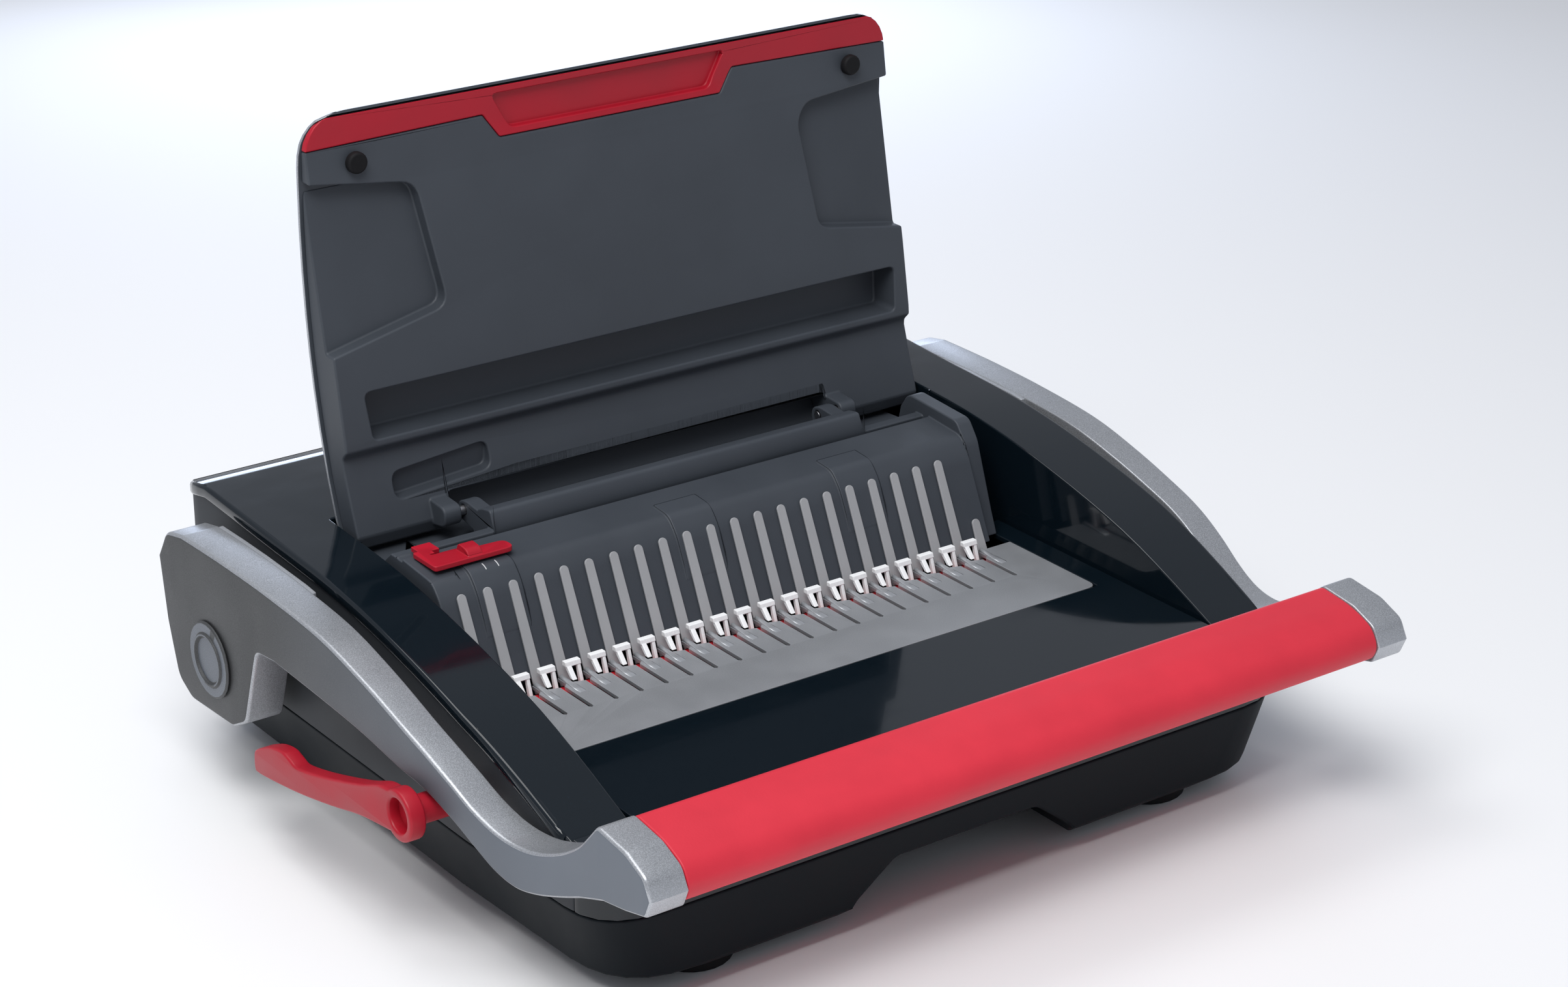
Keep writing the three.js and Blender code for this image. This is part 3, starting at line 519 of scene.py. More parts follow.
def rounded(item: Piece, width_mm: float, segments: int = 2, angle: float = 27.0) -> Piece:
    """Rounds every edge sharper than an angle.

    Args:
        item: the object to work on.
        width_mm: how wide the rounding is.
        segments: faces across it.
        angle: edges flatter than this, in degrees, are left as smooth curves.
    Returns:
        The same object with the rounding in its mesh.
    """
    for face in item.data.polygons:
        face.use_smooth = True
    bevel = item.modifiers.new("rounding", "BEVEL")
    bevel.width = width_mm * MM
    bevel.segments = segments
    bevel.limit_method = "ANGLE"
    bevel.angle_limit = math.radians(angle)
    bevel.use_clamp_overlap = False
    bevel.harden_normals = True
    bevel.miter_outer = "MITER_ARC"
    item.modifiers.new("even_shading", "WEIGHTED_NORMAL").keep_sharp = True
    return settled(item)


def from_cad(node: str, name: str, width_mm: float, segments: int = 2) -> Piece:
    """A finer copy of a CAD node: merged, its flats cleaned and its edges rounded.

    Args:
        node: the CAD node copied.
        name: the new piece's name.
        width_mm: width of the edge rounding.
        segments: faces across the rounding.
    Returns:
        The new object, which doesn't ride on a body yet.
    """
    shape = bmesh.new()
    shape.from_mesh(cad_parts[node].data)
    bmesh.ops.remove_doubles(shape, verts=shape.verts, dist=MERGE)
    bmesh.ops.dissolve_limit(
        shape, angle_limit=FLAT_ANGLE, verts=shape.verts, edges=shape.edges, delimit={"NORMAL"}
    )
    mesh = bpy.data.meshes.new(name)
    shape.to_mesh(mesh)
    shape.free()
    return rounded(link(name, mesh), width_mm, segments)


def dress(item: Piece, main: Finish, extra: Sequence[tuple[Finish, FaceTest]] = ()) -> None:
    """Gives a piece its finish, and other finishes to the faces that a test picks.

    Args:
        item: the object to dress.
        main: the finish of all other faces.
        extra: pairs of a finish and a test of a face's centre and normal.
    """
    item.data.materials.clear()
    item.data.materials.append(main.material)
    for index, (finish, wanted) in enumerate(extra, start=1):
        item.data.materials.append(finish.material)
        for face in item.data.polygons:
            if wanted(face.center, face.normal):
                face.material_index = index


def place(item: Piece, body: str, *nodes: str) -> None:
    """Makes a finished piece ride on a body, and reports it.

    Args:
        item: the piece.
        body: the body's name.
        nodes: the CAD nodes that it stands for.
    """
    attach(item, body)
    if nodes:
        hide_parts(*nodes)
    LOG.info("%s on %s, %d faces", item.name, body, len(item.data.polygons))


def remake(node: str, name: str, finish: Finish, body: str, width_mm: float, segments: int = 2,
           extra: Sequence[tuple[Finish, FaceTest]] = ()) -> None:
    """Replaces a CAD node by a finer, dressed copy of it.

    Args:
        node: the CAD node.
        name: the new piece's name.
        finish: its main finish.
        body: the body that it rides on.
        width_mm: width of its edge rounding.
        segments: faces across the rounding.
        extra: other finishes and where they go, as for `dress`.
    """
    item = from_cad(node, name, width_mm, segments)
    dress(item, finish, extra)
    place(item, body, node)


def make_steel(*nodes: str) -> None:
    """Gives CAD nodes that stay as they are the look of machined steel."""
    for node in nodes:
        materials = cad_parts[node].data.materials
        materials.clear()
        materials.append(Finish.STEEL.material)


def mesh_of(shape: bmesh.types.BMesh, name: str) -> bpy.types.Mesh:
    """Makes a mesh of a shape.

    Args:
        shape: the shape, which is freed.
        name: the mesh's name.
    Returns:
        The mesh, with its faces pointing out.
    """
    bmesh.ops.recalc_face_normals(shape, faces=shape.faces)
    mesh = bpy.data.meshes.new(name)
    shape.to_mesh(mesh)
    shape.free()
    return mesh


def join_rings(shape: bmesh.types.BMesh, rings: Sequence[Sequence[bmesh.types.BMVert]],
               closed: bool = True) -> None:
    """Lays faces between rings of corners.

    Args:
        shape: the shape that they are in.
        rings: the rings in order, with as many corners in each.
        closed: whether a face also joins the last corners to the first ones.
    """
    count = len(rings[0])
    for first, second in zip(rings, rings[1:]):
        for i in range(count if closed else count - 1):
            j = (i + 1) % count
            shape.faces.new((first[i], first[j], second[j], second[i]))


def loft(name: str, *solids: Sequence[Sequence[Point]], closed: bool = True) -> bpy.types.Mesh:
    """Solids that run through rings of points and are capped at both ends.

    Args:
        name: the mesh's name.
        solids: each solid's rings in order, with as many points in each.
        closed: False if the rings are open below, where one more face then closes the solid.
    Returns:
        The mesh, with its faces pointing out.
    """
    shape = bmesh.new()
    for solid in solids:
        rings = [[shape.verts.new(point) for point in ring] for ring in solid]
        shape.faces.new(rings[0])
        shape.faces.new(rings[-1])
        join_rings(shape, rings, closed)
        if not closed:
            shape.faces.new([ring[0] for ring in rings] + [ring[-1] for ring in reversed(rings)])
    return mesh_of(shape, name)


def smooth_sides(mesh: bpy.types.Mesh) -> bpy.types.Mesh:
    """Shades a loft's four-cornered faces smooth and its caps flat.

    Args:
        mesh: the loft.
    Returns:
        The same mesh.
    """
    for face in mesh.polygons:
        face.use_smooth = len(face.vertices) == 4
    return mesh


class Run(Enum):
    """The axis that a straight piece runs along."""

    X = "x"
    Z = "z"


def prism(name: str, outline: Sequence[Pair], start: float, end: float, run: Run) -> Piece:
    """A straight piece with an outline as its section.

    Args:
        name: the object's name.
        outline: its corners, in order, in metres; (y, z) along X or (x, y) along Z.
        start: where it begins along the axis.
        end: where it ends.
        run: the axis.
    Returns:
        The object, closed, with its faces pointing out.
    """
    rings = [[(at, a, b) if run is Run.X else (a, b, at) for a, b in outline] for at in (start, end)]
    return link(name, loft(name, rings))


def soft_corners(corners: Sequence[Corner], steps: int = 5) -> list[Pair]:
    """A path whose inner corners are rounded.

    Args:
        corners: (a, b), or (a, b, radius) for a corner that is rounded.
        steps: pieces in each rounding.
    Returns:
        The points of the path, in order.
    """
    path = [corners[0][:2]]
    for before, corner, after in zip(corners, corners[1:], corners[2:]):
        here = Vector(corner[:2])
        if len(corner) < 3 or corner[2] <= 0:
            path.append(tuple(here))
            continue
        back, on = Vector(before[:2]) - here, Vector(after[:2]) - here
        half = back.angle(on) / 2
        reach = min(corner[2] / math.tan(half), back.length * 0.48, on.length * 0.48)
        first, last = here + back.normalized() * reach, here + on.normalized() * reach
        for i in range(steps + 1):
            t = i / steps
            path.append(tuple(first * (1 - t) ** 2 + here * 2 * t * (1 - t) + last * t ** 2))
    path.append(corners[-1][:2])
    return path


def smooth_path(points: Sequence[Pair], steps: int = 10) -> list[Pair]:
    """A smooth curve through points.

    Args:
        points: the points, in order.
        steps: pieces between each two of them.
    Returns:
        The points of the curve, in order.
    """
    ends = [points[0], *points, points[-1]]
    path = []
    for a, b, c, d in zip(ends, ends[1:], ends[2:], ends[3:]):
        for i in range(steps):
            t = i / steps
            path.append(tuple(
                0.5 * (
                    2 * q + (r - p) * t + (2 * p - 5 * q + 4 * r - w) * t * t
                    + (3 * q - p - 3 * r + w) * t ** 3
                )
                for p, q, r, w in zip(a, b, c, d)
            ))
    path.append(points[-1])
    return path


def plate(name: str, outlines: Sequence[Sequence[Pair]], start: float, end: float,
          round_mm: float) -> Piece:
    """A flat piece across X with soft edges, cut from an outline and any holes in it.

    Args:
        name: the object's name.
        outlines: (y, z) points in metres of the outer outline and then of each hole.
        start: where it begins along X.
        end: where it ends along X.
        round_mm: how far its edges are rounded.
    Returns:
        The object, with its place in its mesh.
    """
    curve = bpy.data.curves.new(name, "CURVE")
    curve.dimensions = "2D"
    curve.fill_mode = "BOTH"
    for points in outlines:
        spline = curve.splines.new("POLY")
        spline.points.add(len(points) - 1)
        spline.use_cyclic_u = True
        for dot, (y, z) in zip(spline.points, points):
            dot.co = (y, z, 0.0, 1.0)
    depth = round_mm * MM
    curve.bevel_depth, curve.offset, curve.bevel_resolution = depth, -depth, 2
    curve.extrude = abs(end - start) / 2 - depth
    shaped = link(name + "_curve", curve)
    graph = bpy.context.evaluated_depsgraph_get()
    mesh = bpy.data.meshes.new_from_object(shaped.evaluated_get(graph), depsgraph=graph)
    bpy.data.objects.remove(shaped)
    across = Matrix(((0, 0, 1, (start + end) / 2), (1, 0, 0, 0), (0, 1, 0, 0), (0, 0, 0, 1)))
    mesh.transform(across)
    shape = bmesh.new()
    shape.from_mesh(mesh)
    bpy.data.meshes.remove(mesh)
    bmesh.ops.remove_doubles(shape, verts=shape.verts, dist=FINE_MERGE)
    return link(name, mesh_of(shape, name))


def shade(item: Piece, angle: float = 35.0) -> Piece:
    """Shades a piece smooth apart from its sharp edges.

    Args:
        item: the piece.
        angle: the angle in degrees from which an edge is sharp.
    Returns:
        The same piece.
    """
    shape = bmesh.new()
    shape.from_mesh(item.data)
    for face in shape.faces:
        face.smooth = True
    for edge in shape.edges:
        edge.smooth = len(edge.link_faces) == 2 and edge.calc_face_angle(0.0) < math.radians(angle)
    shape.to_mesh(item.data)
    shape.free()
    return item


class RowTree:
    """A Geometry Nodes tree that repeats the object's own mesh in a straight row."""

    def __init__(self) -> None:
        """Builds the tree once."""
        self.tree = bpy.data.node_groups.new("row_of_units", "GeometryNodeTree")
        face = self.tree.interface
        face.new_socket("Unit", in_out="INPUT", socket_type="NodeSocketGeometry")
        self.inputs = {
            name: face.new_socket(name, in_out="INPUT", socket_type=kind).identifier
            for name, kind in (
                ("Count", "NodeSocketInt"), ("Step", "NodeSocketVector"), ("Finish", "NodeSocketMaterial"),
            )
        }
        face.new_socket("Row", in_out="OUTPUT", socket_type="NodeSocketGeometry")
        nodes = self.tree.nodes
        source, result = nodes.new("NodeGroupInput"), nodes.new("NodeGroupOutput")
        line = nodes.new("GeometryNodeMeshLine")
        line.mode = "OFFSET"
        place = nodes.new("GeometryNodeInstanceOnPoints")
        real = nodes.new("GeometryNodeRealizeInstances")
        paint = nodes.new("GeometryNodeSetMaterial")
        join = self.tree.links.new
        join(source.outputs["Count"], line.inputs["Count"])
        join(source.outputs["Step"], line.inputs["Offset"])
        join(line.outputs["Mesh"], place.inputs["Points"])
        join(source.outputs["Unit"], place.inputs["Instance"])
        join(place.outputs["Instances"], real.inputs["Geometry"])
        join(real.outputs["Geometry"], paint.inputs["Geometry"])
        join(source.outputs["Finish"], paint.inputs["Material"])
        join(paint.outputs["Geometry"], result.inputs["Row"])

    def repeat(self, item: Piece, count: int, step: Vector, finish: Finish) -> Piece:
        """Repeats an object's mesh.

        Args:
            item: the first unit, which becomes the whole row.
            count: how many units the row has.
            step: from each unit to the next.
            finish: the finish of them all.
        Returns:
            The same object, with the row as its plain mesh.
        """
        row = item.modifiers.new("row", "NODES")
        row.node_group = self.tree
        row[self.inputs["Count"]] = count
        row[self.inputs["Step"]] = tuple(step)
        row[self.inputs["Finish"]] = finish.material
        settled(item)
        for face in item.data.polygons:
            face.material_index = 0
        dress(item, finish)
        return item


ROWS = RowTree()


# ---------------------------------------------------------------- sub-assemblies
@dataclass
class Housing:
    """Base tub, feet, glossy saddle cover with its rim, and the tray."""

    rim_depth_mm: float = 6.6
    rim_proud_mm: float = 1.3
    side_limit_mm: float = 190.0
    rear_limit_mm: float = 240.0
    middle_y_mm: float = 90.0
    upright: float = 0.3
    edge_mm: float = 0.9
    wall_drop_mm: float = 24.0
    above_mm: float = 200.0
    beside: float = 0.4
    side_mm: int = 190
    corner_side_mm: int = 188
    corner_length_mm: int = 20
    rear_length_mm: int = 14
    rim_front_mm: int = -100
    rim_step_mm: int = 7
    rear_half_mm: int = 150
    rear_step_mm: int = 50
    turn_step: int = 15

    def build(self) -> None:
        """Builds and dresses the fixed housing."""
        remake("base_tub", "base_shell", Finish.BASE, "base", 1.4, 3)
        for corner in ("front_left", "front_right", "rear_left", "rear_right"):
            remake(f"foot_{corner}", f"rubber_foot_{corner}", Finish.RUBBER, "base", 0.7)
        matt = [(Finish.SIDE, self.is_side)]
        remake("top_cover", "saddle_cover", Finish.GLOSS, "base", self.edge_mm, 3, matt)
        rim = self.rim()
        dress(rim, Finish.GLOSS)
        place(rim, "base")
        remake("front_tray", "gloss_tray", Finish.GLOSS, "base", 0.6)
        for side in ("left", "right"):
            remake(f"spacer_{side}", f"pivot_spacer_{side}", Finish.BASE, "base", 0.4)

    def is_side(self, centre: Vector, normal: Vector) -> bool:
        """Tells the cover's matt outer walls from the rest.

        Args:
            centre: the middle of a face.
            normal: the face's direction.
        Returns:
            True on the outer walls below the glossy rim.
        """
        out = Vector((centre.x - Datum.middle, centre.y - Datum.at(0, self.middle_y_mm, 0).y))
        faces_out = normal.x * out.x + normal.y * out.y > 0
        beyond = centre.y > Datum.at(0, self.rear_limit_mm, 0).y
        far = abs(centre.x - Datum.middle) > self.side_limit_mm * MM or beyond
        return faces_out and far and abs(normal.z) < self.upright

    def on_edge(self, skin: BVHTree, inside: Vector, outward: Vector) -> Optional[tuple[Vector, Vector]]:
        """Finds the cover's top edge.

        Args:
            skin: the cover's surface.
            inside: a place under the crest, a little inside the wall.
            outward: the direction from there to the wall.
        Returns:
            The place on the edge and the outward direction, or None where the wall has no top.
        """
        high = Datum.at(0, 0, self.above_mm).z
        crest = skin.ray_cast(Vector((inside.x, inside.y, high)), DOWN)[0]
        start = Vector((inside.x, inside.y, crest.z - self.wall_drop_mm * MM)) + outward * self.beside
        wall = skin.ray_cast(start, -outward)[0]
        edge = wall - outward * (self.edge_mm * MM)
        top = skin.ray_cast(Vector((edge.x, edge.y, high)), DOWN)[0]
        return None if top is None else (Vector((wall.x, wall.y, top.z)), outward)

    def corner(self, side: int, turns: Sequence[int]) -> list[tuple[float, Vector]]:
        """The directions round a rear corner.

        Args:
            side: -1 for the left corner and 1 for the right one.
            turns: angles from the side towards the rear, in degrees.
        Returns:
            The corner's place along X, with the outward direction at each angle.
        """
        angles = [math.radians(turn) for turn in turns]
        return [(side * self.corner_side_mm, Vector((side * math.cos(a), math.sin(a), 0))) for a in angles]

    def rim(self) -> Piece:
        """A rounded lip swept along the cover's outer top edge, from one cheek's foot round the rear.

        Returns:
            The lip.
        """
        last = int(round((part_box("top_cover")[1].y - Datum.at(0, 0, 0).y) / MM))
        corner_y = last - self.corner_length_mm
        along = range(self.rim_front_mm, corner_y, self.rim_step_mm)
        across = range(-self.rear_half_mm, self.rear_half_mm + 1, self.rear_step_mm)
        turns = range(0, 91, self.turn_step)
        places = [(-self.side_mm, y, Vector((-1, 0, 0))) for y in along]
        places += [(x, corner_y, outward) for x, outward in self.corner(-1, turns)]
        places += [(x, last - self.rear_length_mm, Vector((0, 1, 0))) for x in across]
        places += [(x, corner_y, outward) for x, outward in self.corner(1, turns[::-1])]
        places += [(self.side_mm, y, Vector((1, 0, 0))) for y in reversed(along)]
        skin = skin_of("top_cover")
        found = [self.on_edge(skin, Datum.at(x, y, 0), outward) for x, y, outward in places]
        return self.swept([spot for spot in found if spot is not None])

    def swept(self, path: Sequence[tuple[Vector, Vector]]) -> Piece:
        """The rim itself.

        Args:
            path: places along the edge, with the outward direction at each.
        Returns:
            The rim.
        """
        d, p = self.rim_depth_mm, self.rim_proud_mm
        # (outward, up) from the edge in millimetres, over the top and down the wall.
        section = [(-3.0, -0.9), (-1.9, -0.02), (-0.6, 0.0), (p * 0.35, -0.2), (p * 0.75, -0.8), (p, -1.9),
                   (p, -d + 1.4), (p * 0.7, -d + 0.4), (0.0, -d), (-1.5, -d)]
        rings = [[spot + out * (o * MM) + Vector((0, 0, h * MM)) for o, h in section] for spot, out in path]
        return link("cover_rim", smooth_sides(loft("cover_rim", rings)))


@dataclass
class PunchBlock:
    """The grey block behind the plate, its slider and the marks beside it, and the hidden punch."""

    tick_length_mm: float = 4.0
    tick_width_mm: float = 0.5
    tick_proud_mm: float = 0.12
    tick_sunk_mm: float = 0.1
    tick_pieces: int = 5
    tick_count: int = 2
    first_tick_mm: Pair = (-141.0, 69.6)
    tick_step_mm: float = 7.0
    above_mm: float = 60.0

    def build(self) -> None:
        """Builds and dresses the block."""
        remake("comb_housing", "punch_block", Finish.HOUSING, "base", 0.8, 3)
        remake("paper_guide", "paper_slider", Finish.RED, "guide", 0.5, 3)
        step = Vector((self.tick_step_mm * MM, 0, 0))
        place(ROWS.repeat(self.tick(), self.tick_count, step, Finish.MARK), "base")
        make_steel("die_bar", "punch_guide", "lever_bearing", "punch_bar", "punch_pins")

    def tick(self) -> Piece:
        """The first of the printed ticks beside the slider, laid on the block's own surface.

        Returns:
            The tick.
        """
        x, y = self.first_tick_mm
        half, skin = self.tick_width_mm / 2, skin_of("comb_housing")
        rows = []
        for i in range(self.tick_pieces + 1):
            back = y - self.tick_length_mm * i / self.tick_pieces
            spots = [Datum.at(x + side * half, back, self.above_mm) for side in (-1, 1)]
            rows.append([skin.ray_cast(spot, DOWN)[0] for spot in spots])
        lift, sink = Vector((0, 0, self.tick_proud_mm * MM)), Vector((0, 0, -self.tick_sunk_mm * MM))
        rings = [[a + sink, a + lift, b + lift, b + sink] for a, b in rows]
        return link("size_ticks", loft("size_ticks", rings))


@dataclass
class CombRow:
    """Plate, fixed fingers and travelling hooks, all at the comb's pitch."""

    pitch_mm: float = 14.2875
    count: int = 21
    first_finger_mm: float = -159.3
    hook_offset_mm: float = 5.7
    finger_half_mm: float = 3.0
    finger_height_mm: float = 48.6
    finger_root_mm: float = -7.0
    finger_thick_mm: float = 1.2
    tip_inset_mm: float = 0.6
    tip_pieces: int = 10
    short_height_mm: float = 14.0
    foot_y_mm: float = 38.6
    foot_z_mm: float = 1.0
    lean: float = math.atan2(19.4, 42)
    carrier_y_mm: Pair = (24.0, 33.8)
    carrier_top_mm: float = -4.4
    # Each bar of a hook: its (y, z) outline, and its left and right faces off the hook's middle.
    hook_bars_mm: tuple[tuple[Sequence[Pair], float, float], ...] = (
        (((29.6, -6.0), (32.6, -6.0), (35.8, 5.6), (33.8, 6.2)), -0.9, 0.9),
        (((28.2, 0.3), (30.6, 0.3), (37.0, 6.0), (34.8, 7.2)), -6.9, -4.3),
        (((33.2, 5.2), (37.0, 5.2), (37.0, 7.6), (34.0, 7.6)), -7.4, 1.2),
    )
    fold_offset_mm: float = 10.85
    # (y, height, half width) along a fold, and (across, up) round it as shares of those.
    fold_mm: tuple[Point, ...] = (
        (35.2, 1.5, 1.75), (31.0, 1.05, 1.8), (27.5, 0.6, 1.9), (23.0, 0.28, 2.3), (16.0, 0.02, 2.6),
    )
    fold_arch: tuple[Pair, ...] = ((-1.0, -0.05), (-0.55, 0.7), (0.0, 1.0), (0.55, 0.7), (1.0, -0.05))

    def build(self) -> None:
        """Builds the plate and the rows."""
        remake("punch_plate", "grooved_plate", Finish.PLATE, "base", 0.22)
        finger = self.finger("comb_fingers_row", self.finger_height_mm)
        place(ROWS.repeat(finger, self.count, self.step, Finish.FINGER), "base", "comb_fingers")
        short = self.finger("short_end_finger", self.short_height_mm, self.count)
        dress(short, Finish.FINGER)
        place(short, "base")
        place(ROWS.repeat(self.fold(), self.count, self.step, Finish.PLATE), "base")
        place(ROWS.repeat(self.hook(), self.count, self.step, Finish.HOOK), "hooks", "hook_bar")
        carrier = self.carrier()
        # The carrier's red is brightened against the shade it sits in: painted light.
        dress(carrier, Finish.CARRIER_RED_BRIGHTENED)
        place(carrier, "hooks")
        make_steel("hook_rack")

    @property
    def step(self) -> Vector:
        """From one ring to the next."""
        return Vector((self.pitch_mm * MM, 0, 0))

    def carrier(self) -> Piece:
        """The bar under the plate that the hooks stand on.

        Returns:
            The bar, with rounded edges.
        """
        low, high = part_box("hook_bar")
        front, back = (Datum.at(0, y, 0).y for y in self.carrier_y_mm)
        top = Datum.at(0, 0, self.carrier_top_mm).z
        section = [(front, low.z), (back, low.z), (back, top), (front, top)]
        return rounded(prism("hook_carrier", section, low.x, high.x, Run.X), 0.4)

    def finger(self, name: str, height_mm: float, place_at: int = 0) -> Piece:
        """One flat finger with a round tip, leaning back over the block.

        Args:
            name: the object's name.
            height_mm: its length along the lean.
            place_at: how many pitches from the first finger it stands.
        Returns:
            The finger, in place, with rounded edges.
        """
        half, root = self.finger_half_mm, self.finger_root_mm
        tip = half - self.tip_inset_mm
        turns = [math.pi * i / self.tip_pieces for i in range(self.tip_pieces + 1)]
        arc = [(tip * math.cos(a), height_mm - tip + tip * math.sin(a)) for a in turns]
        outline = [(a * MM, b * MM) for a, b in [(half, root), *arc, (-half, root)]]
        item = prism(name, outline, -self.finger_thick_mm * MM, 0.0, Run.Z)
        turn = Matrix.Rotation(math.pi / 2 - self.lean, 4, "X")
        foot = Datum.at(self.first_finger_mm + place_at * self.pitch_mm, self.foot_y_mm, self.foot_z_mm)
        item.data.transform(Matrix.Translation(foot) @ turn)
        return rounded(item, 0.3, 3)

    def hook(self) -> Piece:
        """The first hook: a stem out of the plate's slot, a beak across it, and a sloping leg at its far end.

        Returns:
            The hook, with rounded edges.
        """
        at = self.first_finger_mm + self.hook_offset_mm
        bars = [
            [[Datum.at(at + x, y, z) for y, z in outline] for x in (left, right)]
            for outline, left, right in self.hook_bars_mm
        ]
        return rounded(link("comb_hooks", loft("comb_hooks", *bars)), 0.3)

    def fold(self) -> Piece:
        """The low pressed fold in the plate in front of a notch, which fades out forwards.

        Returns:
            The fold.
        """
        middle = self.first_finger_mm + self.fold_offset_mm
        rings = [
            [
                Datum.at(middle + across * half, y, up * height if up > 0 else up)
                for across, up in self.fold_arch
            ]
            for y, height, half in self.fold_mm
        ]
        return link("plate_folds", smooth_sides(loft("plate_folds", rings, closed=False)))


@dataclass
class Lid:
    """The open lid: silver shell, dark inner panel, red edge and rubber bumpers."""

    facing: float = -0.5

    def build(self) -> None:
        """Builds and dresses the lid."""
        for node, name, width, finish in (
            ("lid_shell", "lid_outer_shell", 0.5, Finish.SILVER),
            ("lid_panel", "lid_inner_panel", 1.1, Finish.HOUSING),
            ("lid_trim", "lid_red_edge", 0.8, Finish.RED),
            ("lid_bumper_left", "bumper_left", 0.5, Finish.RUBBER),
            ("lid_bumper_right", "bumper_right", 0.5, Finish.RUBBER),
            ("lid_pin_left", "hinge_pin_left", 0.3, Finish.STEEL),
            ("lid_pin_right", "hinge_pin_right", 0.3, Finish.STEEL),
        ):
            extra = [(Finish.HOUSING, self.is_inside)] if node == "lid_shell" else []
            remake(node, name, finish, "lid", width, 3, extra)

    def is_inside(self, centre: Vector, normal: Vector) -> bool:
        """True on the shell's faces that look forwards when the lid is open."""
        return normal.y < self.facing


